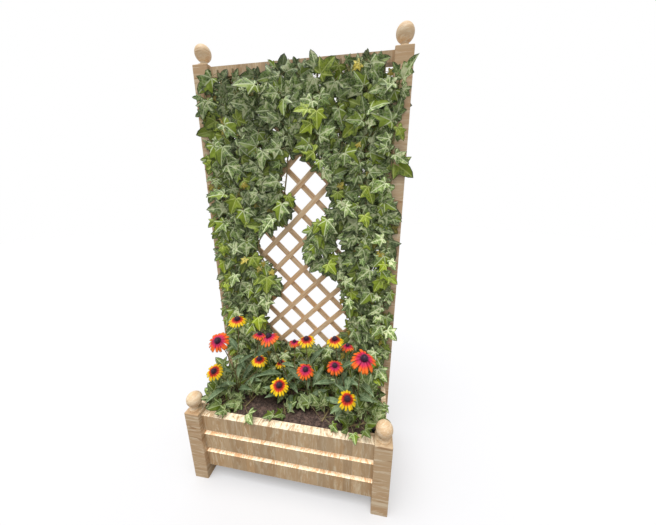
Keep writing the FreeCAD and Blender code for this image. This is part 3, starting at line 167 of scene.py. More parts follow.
class Graph:
    """A material's node tree, built by expressions."""

    def __init__(self, name: str) -> None:
        """Start an empty material.

        Args:
            name: the material's name.
        """
        self.material = bpy.data.materials.new(name)
        self.material.use_nodes = True
        self.tree = self.material.node_tree
        self.tree.nodes.clear()

    def node(self, kind: str, settings: dict[str, Any] | None = None,
             inputs: dict[int | str, Any] | None = None, output: int | str = 0) -> Sock:
        """Make any node.

        Args:
            kind: the node's type.
            settings: its own settings, with a ramp's stops under "stops".
            inputs: values or sockets for its inputs.
            output: the output that is wanted.

        Returns:
            That output.
        """
        made = self.tree.nodes.new(kind)
        for key, value in (settings or {}).items():
            if key == "stops":
                self._set_stops(made, value)
            else:
                setattr(made, key, value)
        for key, value in (inputs or {}).items():
            if isinstance(value, Sock):
                self.tree.links.new(value.socket, made.inputs[key])
            else:
                made.inputs[key].default_value = value
        return Sock(self, made.outputs[output])

    @staticmethod
    def _set_stops(made: bpy.types.Node, stops: Sequence[tuple[float, Colour]]) -> None:
        """Set the stops of a colour ramp."""
        elements = made.color_ramp.elements
        while len(elements) < len(stops):
            elements.new(0.5)
        for element, (position, colour) in zip(elements, stops):
            element.position = position
            element.color = colour

    def place(self) -> Sock:
        """Object coordinates."""
        return self.node("ShaderNodeTexCoord", output="Object")

    def stretch(self, vector: Sock, scale: Sequence[float], turn: Sequence[float] = (0, 0, 0)) -> Sock:
        """Turn, then stretch a pattern's coordinates.

        Args:
            vector: the coordinates.
            scale: factor along each axis, after the turn.
            turn: rotation in radians.

        Returns:
            The new coordinates.
        """
        turned = self.node("ShaderNodeVectorRotate", {"rotation_type": "EULER_XYZ"},
                           {"Vector": vector, "Rotation": tuple(turn)})
        return self.node("ShaderNodeVectorMath", {"operation": "MULTIPLY"}, {0: turned, 1: tuple(scale)})

    def split(self, vector: Sock) -> tuple[Sock, Sock, Sock]:
        """The three parts of a vector."""
        first = self.node("ShaderNodeSeparateXYZ", inputs={0: vector})
        return first, first.other(1), first.other(2)

    def join(self, x: Any, y: Any, z: Any) -> Sock:
        """A vector of three parts."""
        return self.node("ShaderNodeCombineXYZ", inputs={0: x, 1: y, 2: z})

    def noise(self, vector: Sock, scale: float, detail: float = 2.0, roughness: float = 0.5,
              distortion: float = 0.0) -> Sock:
        """Smooth noise from 0 to 1."""
        return self.node("ShaderNodeTexNoise", {"noise_dimensions": "3D"},
                         {"Vector": vector, "Scale": scale, "Detail": detail, "Roughness": roughness,
                          "Distortion": distortion})

    def chance(self, vector: Sock) -> Sock:
        """One random value for each whole vector."""
        return self.node("ShaderNodeTexWhiteNoise", {"noise_dimensions": "3D"}, {"Vector": vector})

    def ease(self, value: Sock, low: float, high: float) -> Sock:
        """0 below low, 1 above high, smooth between."""
        return self.node("ShaderNodeMapRange", {"interpolation_type": "SMOOTHSTEP"},
                         {0: value, 1: low, 2: high, 3: 0.0, 4: 1.0})

    def mix(self, share: Any, first: Any, second: Any) -> Sock:
        """Mix two colours."""
        return self.node("ShaderNodeMix", {"data_type": "RGBA"}, {0: share, 6: first, 7: second}, 2)

    def tint(self, share: Any, first: Any, second: Any) -> Sock:
        """Multiply the first colour by the second."""
        return self.node("ShaderNodeMix", {"data_type": "RGBA", "blend_type": "MULTIPLY"},
                         {0: share, 6: first, 7: second}, 2)

    def attribute(self, name: str) -> Sock:
        """The piece's own attribute, as a vector."""
        return self.node("ShaderNodeAttribute", {"attribute_type": "GEOMETRY", "attribute_name": name},
                         output="Vector")

    def across_and_along(self) -> tuple[Sock, Sock]:
        """The piece's own texture coordinates."""
        across, along, _ = self.split(self.node("ShaderNodeTexCoord", output="UV"))
        return across, along

    def blade_place(self) -> tuple[Sock, Sock]:
        """Place on a blade of unit length: across from its midrib and along from its foot."""
        across, along = self.across_and_along()
        return (across - UV_MIDDLE[0]) / UV_SCALE, (along - UV_MIDDLE[1]) / UV_SCALE

    def bump(self, height: Sock, distance: float, strength: float = 1.0) -> Sock:
        """A bumped normal; distance is in metres."""
        return self.node("ShaderNodeBump",
                         inputs={"Height": height, "Distance": distance, "Strength": strength})

    def surface(self, **inputs: Any) -> bpy.types.Material:
        """Close the graph with a Principled surface.

        Args:
            inputs: its inputs, with underscores for the spaces in their names.

        Returns:
            The finished material.
        """
        named = {key.replace("_", " "): value for key, value in inputs.items()}
        shader = self.node("ShaderNodeBsdfPrincipled", inputs=named)
        self.node_output(shader)
        return self.material

    def node_output(self, shader: Sock) -> None:
        """Link a shader to the material's output."""
        output = self.tree.nodes.new("ShaderNodeOutputMaterial")
        self.tree.links.new(shader.socket, output.inputs["Surface"])


# ---------------------------------------------------------------- finishes
class Grain(Enum):
    """How the streaks of a piece of timber lie: factors along X, Y and Z, and the turn before them."""

    UPRIGHT_ON_LONG_BOARD = ((1.0, 0.35, 0.16), (0.0, 0.0, 0.0))
    UPRIGHT_ON_SIDE_BOARD = ((0.35, 1.0, 0.16), (0.0, 0.0, 0.0))
    LEVEL_ON_POST = ((0.10, 0.10, 1.0), (0.0, 0.0, 0.0))
    ALONG_X = ((0.05, 1.0, 1.0), (0.0, 0.0, 0.0))
    ALONG_Y = ((1.0, 0.05, 1.0), (0.0, 0.0, 0.0))
    ALONG_RISING_SLAT = ((0.06, 0.5, 1.0), (0.0, math.radians(45), 0.0))
    ALONG_FALLING_SLAT = ((0.06, 0.5, 1.0), (0.0, math.radians(-45), 0.0))
    TURNED = ((0.25, 0.25, 1.0), (0.12, 0.18, 0.0))


BOARD_FOOT = 0.063
BOARD_STEP = 0.0955
# Share of each board step above which the painted top highlight and glow start.
BOARD_TOP_SHARE = 0.776


@dataclass(frozen=True)
class Timber:
    """Planed softwood: broad bands, fine streaks and a few brown growth lines."""

    name: str
    grain: Grain
    body: Colour = ink(202, 172, 134)
    pale: Colour = ink(222, 204, 174)
    warm: Colour = ink(190, 152, 108)
    line: Colour = ink(150, 108, 66)
    line_share: float = 0.45
    stave: float = 0.0
    stave_axis: int = 0
    size: float = 1.0
    relief: float = 0.00025
    # Strength of the painted highlight and glow on the boards' top faces, standing in for light from above.
    painted_top_glow: float = 0.0

    def material(self) -> bpy.types.Material:
        """Build the material.

        Returns:
            The material.
        """
        graph = Graph(self.name)
        place = graph.place()
        scale, turn = self.grain.value
        along = graph.stretch(place, scale, turn)
        warp = graph.noise(along, 9 / self.size, 2.0)
        broad = graph.noise(along, 30 / self.size, 3.0, 0.6, 0.6)
        fine = graph.noise(along, 230 / self.size, 6.0, 0.75, 0.6)
        lines = graph.noise(along, 70 / self.size, 3.0, 0.55, 1.3)
        figure = graph.noise(along, 58 / self.size, 5.0, 0.7, 1.6)
        colour = graph.mix(graph.ease(broad, 0.40, 0.62) * 0.8, self.body, self.warm)
        colour = graph.mix(graph.ease(figure, 0.49, 0.60) * 0.8, colour, self.pale)
        colour = graph.mix(graph.ease(fine, 0.44, 0.66) * 0.5, colour, self.warm)
        colour = graph.mix(graph.ease(lines, 0.60, 0.68) * self.line_share, colour, self.line)
        colour = graph.mix(graph.ease(warp, 0.5, 0.8) * 0.3, colour, self.pale)
        if self.stave:
            spot = graph.split(place)[self.stave_axis]
            stave = (spot / self.stave).floor()
            tone = graph.chance(graph.join(stave, 0.5, 0.5))
            colour = graph.tint(1.0, colour, graph.mix(tone, ink(222, 218, 212), ink(255, 254, 250)))
        inputs: dict[str, Any] = {}
        # Painted highlight: the top faces of the boards are mixed towards pale cream and made to emit, as if
        # lit from above.
        if self.painted_top_glow:
            height = graph.split(place)[2]
            level = ((height - BOARD_FOOT) / BOARD_STEP).fraction()
            top = level.above(BOARD_TOP_SHARE)
            colour = graph.mix(top * graph.ease(figure, 0.35, 0.6), colour, ink(255, 236, 206))
            glow = graph.mix(graph.ease(figure, 0.44, 0.56), ink(255, 198, 144), ink(255, 240, 210))
            inputs = {"Emission_Color": graph.mix(top, BLACK, glow), "Emission_Strength": self.painted_top_glow}
        rough = graph.ease(fine, 0.3, 0.8) * 0.18 + 0.5
        bump = graph.bump(fine + lines, self.relief, 0.6)
        return graph.surface(Base_Color=colour, Roughness=rough, Normal=bump, **inputs)


@dataclass(frozen=True)
class Soil:
    """Loose potting soil, dark and a little reddish."""

    name: str = "loose_soil"
    dark: Colour = ink(60, 47, 42)
    light: Colour = ink(114, 92, 81)

    def material(self) -> bpy.types.Material:
        """Build the material.

        Returns:
            The material.
        """
        graph = Graph(self.name)
        place = graph.place()
        coarse = graph.noise(place, 90, 4.0, 0.6)
        grit = graph.noise(place, 480, 3.0, 0.7)
        colour = graph.mix(graph.ease(coarse, 0.35, 0.7), self.dark, self.light)
        colour = graph.mix(graph.ease(grit, 0.58, 0.75) * 0.5, colour, ink(136, 110, 92))
        return graph.surface(Base_Color=colour, Roughness=0.95, Normal=graph.bump(coarse + grit, 0.0018))


@dataclass(frozen=True)
class Plain:
    """A plain surface with a slight mottle, for liner, screws and stems."""

    name: str
    body: Colour
    shade: Colour
    scale: float
    roughness: float
    metallic: float = 0.0
    relief: float = 0.0002

    def material(self) -> bpy.types.Material:
        """Build the material.

        Returns:
            The material.
        """
        graph = Graph(self.name)
        mottle = graph.noise(graph.place(), self.scale, 4.0, 0.6)
        colour = graph.mix(graph.ease(mottle, 0.35, 0.7), self.body, self.shade)
        rough = graph.ease(mottle, 0.2, 0.8) * 0.15 + self.roughness
        return graph.surface(Base_Color=colour, Roughness=rough, Metallic=self.metallic,
                             Normal=graph.bump(mottle, self.relief))


LATERAL_VEIN = (0.785, 0.620)
BASAL_VEIN = (0.970, -0.243)


@dataclass(frozen=True)
class IvyLeaf:
    """A waxy ivy blade: pale veins over grey-green blotches, and on some leaves one plain bright half."""

    name: str
    deep: Colour
    middle: Colour
    pale: Colour
    vein: Colour
    plain: Colour
    # Dark margin colour: partly the leaf's own darker rim, partly painted shade standing in for the shadow
    # round each leaf.
    edge: Colour = ink(56, 70, 20)
    speckle: Colour = ink(222, 204, 164)
    pale_from: float = 0.50
    plain_share: float = 0.36
    speckle_share: float = 0.55

    def material(self) -> bpy.types.Material:
        """Build the material from the blade's own coordinates.

        Returns:
            The material.
        """
        graph = Graph(self.name)
        x, y = graph.blade_place()
        tone, twist, flank = graph.split(graph.attribute("facts"))
        rim = graph.split(graph.attribute("rim"))[0]
        side = abs(x)
        lateral = abs(side * LATERAL_VEIN[1] - y * LATERAL_VEIN[0])
        basal = abs(side * BASAL_VEIN[1] - y * BASAL_VEIN[0]) + graph.ease(0.04 - side, 0.0, 0.04) * 0.2
        nearest = side.least(lateral).least(basal)
        vein = 1.0 - graph.ease(nearest, 0.008, 0.040)
        rising = abs(((y - side * 0.85) * 6.5).fraction() - 0.5)
        falling = abs(((y * 0.6 + side * 1.1) * 6.0).fraction() - 0.5)
        net = rising.least(falling)
        twig = (1.0 - graph.ease(net, 0.02, 0.12)) * 0.34
        spot = graph.join(x, y, tone * 31.0)
        blotch = graph.noise(spot, 4.2, 3.0, 0.6)
        dapple = graph.noise(spot, 15.0, 3.0, 0.65)
        flip = graph.ease(flank, 0.49, 0.51) * 2.0 - 1.0
        half = graph.ease(x * flip + (blotch - 0.5) * 0.08, -0.012, 0.02)
        plain = half * (1.0 - graph.ease(twist, self.plain_share - 0.02, self.plain_share + 0.02))
        colour = graph.mix(graph.ease(blotch - rim * 0.10, 0.36, 0.50), self.deep, self.middle)
        colour = graph.mix(graph.ease(blotch + vein * 0.12 + (twist - 0.5) * 0.12 - rim * 0.08,
                                      self.pale_from, self.pale_from + 0.12), colour, self.pale)
        colour = graph.mix(graph.ease(dapple, 0.55, 0.68) * self.speckle_share, colour, self.speckle)
        colour = graph.mix(twig, colour, self.vein)
        colour = graph.mix(plain * 0.92, colour, graph.mix(dapple, self.plain, self.deep))
        colour = graph.mix(vein * 0.85, colour, self.vein)
        # Dark margin: partly the leaf's own darker rim, partly painted shade for the shadow round each leaf.
        colour = graph.mix(graph.ease(rim + (blotch - 0.5) * 0.12, 0.84, 0.97) * 0.8, colour, self.edge)
        # Painted shade and light: each leaf's tone, partly random and partly how far out it stands, darkens
        # deep leaves and brightens front ones.
        shade = graph.mix(tone, ink(114, 122, 98), (1.42, 1.42, 1.36, 1.0))
        colour = graph.tint(1.0, colour, shade)
        height = vein * -0.6 + blotch * 0.5 + twig * -0.4
        return graph.surface(Base_Color=colour, Roughness=0.46 + dapple * 0.12,
                             Normal=graph.bump(height, 0.0012, 0.8))


@dataclass(frozen=True)
class FlowerLeaf:
    """A long matt leaf with one pale rib."""

    name: str = "lance_leaf_green"
    deep: Colour = ink(88, 112, 72)
    pale: Colour = ink(142, 164, 122)
    rib: Colour = ink(176, 194, 150)

    def material(self) -> bpy.types.Material:
        """Build the material.

        Returns:
            The material.
        """
        graph = Graph(self.name)
        x, y = graph.blade_place()
        side = abs(x)
        tone = graph.split(graph.attribute("facts"))[0]
        blotch = graph.noise(graph.join(side, y, tone * 17.0), 6.0, 3.0)
        rib = 1.0 - graph.ease(side, 0.004, 0.014)
        ribs = 1.0 - graph.ease(abs(((y - side * 2.2) * 9.0).fraction() - 0.5), 0.05, 0.16)
        colour = graph.mix(graph.ease(blotch, 0.35, 0.65), self.deep, self.pale)
        colour = graph.mix((ribs * 0.25).most(rib * 0.9), colour, self.rib)
        colour = graph.tint(1.0, colour, graph.mix(tone, ink(200, 205, 200), WHITE))
        bump = graph.bump(rib * -1.0 + ribs * -0.3, 0.0008)
        return graph.surface(Base_Color=colour, Roughness=0.62, Normal=bump)


@dataclass(frozen=True)
class Petal:
    """Ray petal: colour runs from the heart to the tip in ragged streaks."""

    name: str
    stops: tuple[tuple[float, Colour], ...]

    def material(self) -> bpy.types.Material:
        """Build the material.

        Returns:
            The material.
        """
        graph = Graph(self.name)
        across, along = graph.across_and_along()
        tone = graph.split(graph.attribute("facts"))[0]
        streak = graph.noise(graph.join(across * 9.0, along * 0.8, tone * 23.0), 2.2, 3.0, 0.6)
        flow = along + (streak - 0.5) * 0.30 + (tone - 0.5) * 0.08
        colour = graph.node("ShaderNodeValToRGB", {"stops": self.stops}, {0: flow})
        # Painted shade: thin lines along the petal are darkened as if its grooves lay in shadow.
        groove = abs((across * 4.0).fraction() - 0.5)
        shade = graph.mix(graph.ease(groove, 0.02, 0.2), ink(214, 196, 190), WHITE)
        colour = graph.tint(1.0, colour, shade)
        return graph.surface(Base_Color=colour, Roughness=0.55, Normal=graph.bump(groove + streak, 0.0009))


@dataclass(frozen=True)
class Cone:
    """Dark domed middle of a flower, with purple mottle painted in as highlights."""

    name: str = "cone_purple"

    def material(self) -> bpy.types.Material:
        """Build the material.

        Returns:
            The material.
        """
        graph = Graph(self.name)
        mottle = graph.noise(graph.place(), 700, 2.0)
        # Painted highlight: a fine purple mottle over the dark body stands in for where the florets catch the
        # light.
        colour = graph.mix(graph.ease(mottle, 0.4, 0.7), ink(38, 16, 30), ink(92, 52, 88))
        return graph.surface(Base_Color=colour, Roughness=0.42, Normal=graph.bump(mottle, 0.0004))


# ---------------------------------------------------------------- reading the solids
def solids_of(node: str) -> list[np.ndarray]:
    """Corner points of each separate solid of a CAD node.

    Args:
        node: the node's name.

    Returns:
        One array of distinct points for each solid, in a fixed order.
    """
    mesh = frame["nodes"][node].data
    corners = np.empty(len(mesh.vertices) * 3, np.float64)
    mesh.vertices.foreach_get("co", corners)
    points, which = np.unique(np.round(corners.reshape(-1, 3), 6), axis=0, return_inverse=True)
    which = which.reshape(-1)
    mesh.calc_loop_triangles()
    triangles = np.empty(len(mesh.loop_triangles) * 3, np.int32)
    mesh.loop_triangles.foreach_get("vertices", triangles)
    triangles = which[triangles].reshape(-1, 3)
    label = np.arange(len(points))
    while True:
        low = label[triangles].min(axis=1)
        fresh = label.copy()
        for corner in range(3):
            np.minimum.at(fresh, triangles[:, corner], low)
        if (fresh == label).all():
            break
        label = fresh
    return [points[label == value] for value in np.unique(label)]


@dataclass(frozen=True)
class FlatLeaf:
    """Where a flat leaf of the solids is: the foot of its stalk, its directions and its sizes."""

    foot: Vector
    along: Vector
    facing: Vector
    length: float
    stalk: float

    @property
    def blade(self) -> Vector:
        """Where the blade starts."""
        return self.foot + self.along * self.stalk


STALK_END = 0.0022
STALK_SIDE = 0.0012
LONGEST_STALK = 0.95
HEAD_SIDE = Vector((0, -0.5, 1))


def read_leaf(points: np.ndarray, towards: Vector) -> FlatLeaf:
    """Work out a leaf's place from the corners of its flat solid.

    Args:
        points: the solid's corners.
        towards: the side that its upper face looks to.

    Returns:
        The leaf's place and sizes.
    """
    middle = points.mean(axis=0)
    directions = np.linalg.svd(points - middle)[2]
    facing = directions[2] * (1 if directions[2] @ np.array(towards) > 0 else -1)
    flat = points - np.outer((points - middle) @ facing, facing)
    gaps = np.linalg.norm(flat[:, None, :] - flat[None, :, :], axis=2)
    first, second = np.unravel_index(np.argmax(gaps), gaps.shape)
    foot, tip = sorted((first, second), key=lambda end: -(gaps[end] < STALK_END).sum())
    start = flat[gaps[foot] < STALK_END].mean(axis=0)
    total = float(np.linalg.norm(flat[tip] - start))
    along = (flat[tip] - start) / total
    height = (flat - start) @ along
    side = np.abs((flat - start) @ np.cross(facing, along))
    stalk = float(height[(side < STALK_SIDE) & (height < LONGEST_STALK * total)].max())
    return FlatLeaf(Vector(start), Vector(along), Vector(facing), total - stalk, stalk)


@dataclass(frozen=True)
class Head:
    """Where a flower head is."""

    middle: Vector
    facing: Vector
    radius: float


def read_head(points: np.ndarray) -> Head:
    """Work out a flower head's place from its flat ring of petals.

    Args:
        points: the ring's corners.

    Returns:
        The head's place and radius.
    """
    middle = points.mean(axis=0)
    facing = Vector(np.linalg.svd(points - middle)[2][2])
    if facing.dot(HEAD_SIDE) < 0:
        facing.negate()
    rise = (points - middle) @ np.array(facing)
    across = np.linalg.norm(points - middle - np.outer(rise, np.array(facing)), axis=1)
    return Head(Vector(middle) + facing * float(rise.max()), facing, float(across.max()))


# ---------------------------------------------------------------- meshes
def new_object(name: str, mesh: bpy.types.Mesh) -> bpy.types.Object:
    """Link a mesh to the scene as an object at the origin."""
    made = bpy.data.objects.new(name, mesh)
    bpy.context.scene.collection.objects.link(made)
    return made


def finish_mesh(work: bmesh.types.BMesh, name: str, smooth: bool = True) -> bpy.types.Mesh:
    """Turn a bmesh into a mesh and free it."""
    bmesh.ops.recalc_face_normals(work, faces=work.faces)
    for face in work.faces:
        face.smooth = smooth
    mesh = bpy.data.meshes.new(name)
    work.to_mesh(mesh)
    work.free()
    return mesh


@dataclass(frozen=True)
class BladeTemplate:
    """A thin closed leaf of unit length that is starred out from a middle point.

    The half outline runs from the stalk to the tip. Lobes droop by curl, the midrib is folded by fold.
    """

    name: str
    half: tuple[tuple[float, float], ...]
    heart: tuple[float, float]
    fold: float
    curl: float
    wave: float
    lean: float
    thickness: float = 0.012
    inner: float = 0.56
    ring_lift: float = 0.004
    heart_lift: float = 0.006
    ring_rim: float = 0.45

    def height(self, x: float, y: float) -> float:
        """How far a point of the blade stands off its plane."""
        crease = self.fold * (0.16 - abs(x)) if abs(x) < 0.16 else 0.0
        droop = self.curl * (x * x * 1.1 + max(0.0, y - 0.25) ** 2)
        ripple = self.wave * math.sin(9.0 * x + 3.0 * self.lean) * math.cos(6.0 * y + 5.0 * self.lean)
        return self.lean * 0.06 * x - crease - droop + ripple

    def mesh(self) -> bpy.types.Mesh:
        """Build the blade.

        Returns:
            The mesh, with its coordinates as a UV map and its margin as an attribute.
        """
        right = list(self.half)
        left = [(-x, y) for x, y in reversed(right[1:-1])]
        outline = right + left
        work = bmesh.new()
        uv = work.loops.layers.uv.new("UVMap")
        rim = work.verts.layers.float.new("rim")
        flat: dict[bmesh.types.BMVert, tuple[float, float]] = {}

        def put(x: float, y: float, lift: float, margin: float) -> bmesh.types.BMVert:
            """Add one point of the blade."""
            corner = work.verts.new((x, y, self.height(x, y) + lift))
            corner[rim] = margin
            flat[corner] = (x, y)
            return corner

        heart_x, heart_y = self.heart
        edge = [put(x, y, 0.0, 1.0) for x, y in outline]
        ring = [put(heart_x + (x - heart_x) * self.inner, heart_y + (y - heart_y) * self.inner,
                    self.ring_lift, self.ring_rim) for x, y in outline]
        top = put(*self.heart, self.heart_lift, 0.0)
        under = put(*self.heart, -self.thickness - self.curl * 0.02, 0.0)
        count = len(outline)
        for index in range(count):
            after = (index + 1) % count
            work.faces.new((top, ring[index], ring[after]))
            work.faces.new((ring[index], edge[index], edge[after], ring[after]))
            work.faces.new((under, edge[after], edge[index]))
        for face in work.faces:
            for loop in face.loops:
                x, y = flat[loop.vert]
                loop[uv].uv = (UV_MIDDLE[0] + x * UV_SCALE, UV_MIDDLE[1] + y * UV_SCALE)
        for corner, after in zip(edge, edge[1:] + edge[:1]):
            work.edges.get((corner, after)).smooth = False
        return finish_mesh(work, self.name)


IVY_HALF = (
    (0.00, 0.00), (0.08, -0.09), (0.20, -0.17), (0.35, -0.19), (0.41, -0.04), (0.35, 0.05), (0.31, 0.13),
    (0.44, 0.26), (0.58, 0.42), (0.42, 0.45), (0.26, 0.47), (0.23, 0.63), (0.14, 0.84), (0.00, 1.00),
)
IVY_WIDE = (
    (0.00, 0.00), (0.09, -0.07), (0.22, -0.16), (0.40, -0.19), (0.49, -0.05), (0.42, 0.05), (0.35, 0.11),
    (0.49, 0.21), (0.65, 0.35), (0.47, 0.40), (0.29, 0.43), (0.26, 0.60), (0.17, 0.82), (0.00, 1.00),
)
IVY_NARROW = (
    (0.00, 0.00), (0.07, -0.10), (0.17, -0.18), (0.29, -0.17), (0.35, -0.03), (0.30, 0.07), (0.26, 0.16),
    (0.36, 0.30), (0.47, 0.47), (0.35, 0.50), (0.22, 0.52), (0.20, 0.68), (0.12, 0.86), (0.00, 1.00),
)
LANCE_HALF = (
    (0.0, 0.0), (0.035, 0.08), (0.075, 0.25), (0.10, 0.42),
    (0.095, 0.58), (0.07, 0.74), (0.035, 0.89), (0.0, 1.0),
)


@dataclass(frozen=True)
class PetalTemplate:
    """A thin closed ray petal of unit length with a toothed tip and lengthwise grooves."""

    name: str
    width: float
    droop: float
    ragged: tuple[float, ...]
    rows: tuple[float, ...] = (0.0, 0.22, 0.46, 0.68, 0.87, 1.0)
    thickness: float = 0.018

    def mesh(self) -> bpy.types.Mesh:
        """Build the petal.

        Returns:
            The mesh, with its coordinates as a UV map.
        """
        columns = len(self.ragged)
        work = bmesh.new()
        uv = work.loops.layers.uv.new("UVMap")
        flat: dict[bmesh.types.BMVert, tuple[float, float]] = {}
        sheets: list[list[list[bmesh.types.BMVert]]] = [[], []]
        for row, along in enumerate(self.rows):
            half = self.width * (0.42 + 0.58 * math.sin(math.pi * min(1.0, along * 0.78) ** 0.9))
            upper, lower = [], []
            for column, tooth in enumerate(self.ragged):
                share = 2.0 * column / (columns - 1) - 1.0
                y = along + tooth * max(0.0, along - 0.68) / 0.32
                groove = 0.020 * math.cos(share * math.pi * 2.0) * math.sin(math.pi * along * 0.9)
                arch = 0.05 * math.sin(math.pi * y) - 0.05 * share * share
                z = arch + groove - self.droop * y * (0.75 + 0.6 * y)
                top = work.verts.new((half * share, y, z))
                flat[top] = (column / (columns - 1), y)
                upper.append(top)
                if column in (0, columns - 1) or row in (0, len(self.rows) - 1):
                    lower.append(top)
                else:
                    under = work.verts.new((half * share, y, z - self.thickness))
                    flat[under] = flat[top]
                    lower.append(under)
            sheets[0].append(upper)
            sheets[1].append(lower)
        for sheet, rows in enumerate(sheets):
            for low, high in zip(rows, rows[1:]):
                for column in range(columns - 1):
                    quad = (low[column], low[column + 1], high[column + 1], high[column])
                    work.faces.new(quad if sheet == 0 else tuple(reversed(quad)))
        for face in work.faces:
            for loop in face.loops:
                loop[uv].uv = flat[loop.vert]
        return finish_mesh(work, self.name)


def lump(name: str, seed: int, subdivisions: int = 1, rough: float = 0.25) -> bpy.types.Mesh:
    """A small uneven lump of unit radius, for crumbs and florets."""
    chance = random.Random(seed)
    work = bmesh.new()
    bmesh.ops.create_icosphere(work, subdivisions=subdivisions, radius=1.0)
    for corner in work.verts:
        corner.co *= 1.0 + chance.uniform(-rough, rough)
    return finish_mesh(work, name, smooth=rough < 0.1)


# ---------------------------------------------------------------- geometry nodes
class Growth:
    """Geometry Nodes trees that set out repeated pieces, and their use."""

    def __init__(self) -> None:
        """Build the two trees once."""
        self.planted = self._planted_tree()
        self.tubes = self._tube_tree()

    @staticmethod
    def _new_tree(name: str, sockets: Sequence[tuple[str, str]]) -> tuple[bpy.types.NodeTree, Any, Any]:
        """Start a tree with named inputs.

        Args:
            name: the tree's name.
            sockets: name and type of each input after the geometry.

        Returns:
            The tree, its input node and its output node.
        """
        tree = bpy.data.node_groups.new(name, "GeometryNodeTree")
        tree.interface.new_socket("Geometry", in_out="INPUT", socket_type="NodeSocketGeometry")
        for label, kind in sockets:
            tree.interface.new_socket(label, in_out="INPUT", socket_type=kind)
        tree.interface.new_socket("Geometry", in_out="OUTPUT", socket_type="NodeSocketGeometry")
        return tree, tree.nodes.new("NodeGroupInput"), tree.nodes.new("NodeGroupOutput")

    @staticmethod
    def _named(tree: bpy.types.NodeTree, kind: str, name: str) -> bpy.types.NodeSocket:
        """Read a named attribute."""
        node = tree.nodes.new("GeometryNodeInputNamedAttribute")
        node.data_type = kind
        node.inputs["Name"].default_value = name
        return node.outputs["Attribute"]

    def _planted_tree(self) -> bpy.types.NodeTree:
        """Copies of templates on points, each with its own turn, size and pick."""
        tree, start, end = self._new_tree("set_out_copies", (
            ("Templates", "NodeSocketCollection"), ("Overall size", "NodeSocketFloat"),
            ("Finish", "NodeSocketMaterial")))
        link = tree.links.new
        info = tree.nodes.new("GeometryNodeCollectionInfo")
        info.inputs["Separate Children"].default_value = True
        info.inputs["Reset Children"].default_value = True
        link(start.outputs["Templates"], info.inputs["Collection"])
        copies = tree.nodes.new("GeometryNodeInstanceOnPoints")
        copies.inputs["Pick Instance"].default_value = True
        turn = tree.nodes.new("FunctionNodeEulerToRotation")
        link(self._named(tree, "FLOAT_VECTOR", "turn"), turn.inputs[0])
        grow = tree.nodes.new("ShaderNodeVectorMath")
        grow.operation = "SCALE"
        link(self._named(tree, "FLOAT_VECTOR", "span"), grow.inputs[0])
        link(start.outputs["Overall size"], grow.inputs["Scale"])
        link(start.outputs["Geometry"], copies.inputs["Points"])
        link(info.outputs[0], copies.inputs["Instance"])
        link(self._named(tree, "INT", "pick"), copies.inputs["Instance Index"])
        link(turn.outputs[0], copies.inputs["Rotation"])
        link(grow.outputs[0], copies.inputs["Scale"])
        self._close(tree, start, end, copies.outputs[0])
        return tree

    def _tube_tree(self) -> bpy.types.NodeTree:
        """Round tubes along the edges of a mesh."""
        tree, start, end = self._new_tree("tubes_on_lines", (
            ("Radius", "NodeSocketFloat"), ("Sides", "NodeSocketInt"), ("Finish", "NodeSocketMaterial")))
        link = tree.links.new
        line = tree.nodes.new("GeometryNodeMeshToCurve")
        link(start.outputs["Geometry"], line.inputs[0])
        ring = tree.nodes.new("GeometryNodeCurvePrimitiveCircle")
        link(start.outputs["Sides"], ring.inputs["Resolution"])
        link(start.outputs["Radius"], ring.inputs["Radius"])
        tube = tree.nodes.new("GeometryNodeCurveToMesh")
        link(line.outputs[0], tube.inputs["Curve"])
        link(ring.outputs[0], tube.inputs["Profile Curve"])
        tube.inputs["Fill Caps"].default_value = True
        self._close(tree, start, end, tube.outputs[0])
        return tree

    @staticmethod
    def _close(tree: bpy.types.NodeTree, start: Any, end: Any, result: bpy.types.NodeSocket) -> None:
        """End a tree in Realize Instances and Set Material."""
        real = tree.nodes.new("GeometryNodeRealizeInstances")
        finish = tree.nodes.new("GeometryNodeSetMaterial")
        tree.links.new(result, real.inputs[0])
        tree.links.new(real.outputs[0], finish.inputs["Geometry"])
        tree.links.new(start.outputs["Finish"], finish.inputs["Material"])
        tree.links.new(finish.outputs[0], end.inputs[0])

    def plant(self, name: str, copies: "Sequence[Copy]", templates: bpy.types.Collection,
              finish: bpy.types.Material, size: float = 1.0) -> bpy.types.Mesh:
        """Set out copies of templates as one plain mesh.

        Args:
            name: the new mesh's name.
            copies: where each copy stands and what it looks like.
            templates: the collection that they pick from.
            finish: their material.
            size: factor on every copy.

        Returns:
            The plain mesh.
        """
        return self.grow(name, self.planted, points_mesh(f"{name}_points", copies),
                         {"Templates": templates, "Overall size": size, "Finish": finish})

    def grow(self, name: str, tree: bpy.types.NodeTree, base: bpy.types.Mesh,
             values: dict[str, Any]) -> bpy.types.Mesh:
        """Run a tree on a base mesh and keep the result as a plain mesh.

        Args:
            name: the new mesh's name.
            tree: one of the trees.
            base: points or lines.
            values: the tree's inputs by their names.

        Returns:
            The plain mesh.
        """
        carrier = new_object(f"{name}_carrier", base)
        modifier = carrier.modifiers.new("grow", "NODES")
        modifier.node_group = tree
        for item in tree.interface.items_tree:
            if item.in_out == "INPUT" and item.name in values:
                modifier[item.identifier] = values[item.name]
        bpy.context.view_layer.update()
        evaluated = carrier.evaluated_get(bpy.context.evaluated_depsgraph_get())
        mesh = bpy.data.meshes.new_from_object(evaluated, preserve_all_data_layers=True,
                                               depsgraph=bpy.context.evaluated_depsgraph_get())
        mesh.name = name
        carrier.modifiers.clear()
        bpy.data.objects.remove(carrier)
        return mesh


@dataclass
class Copy:
    """One copy of a template: where, how turned, how large, which template, and its facts: chance values, and
    for ivy blades a tone that carries painted depth shade.
    """

    place: Vector
    across: Vector
    along: Vector
    facing: Vector
    span: tuple[float, float, float]
    pick: int = 0
    facts: tuple[float, float, float] = (0.0, 0.0, 0.0)


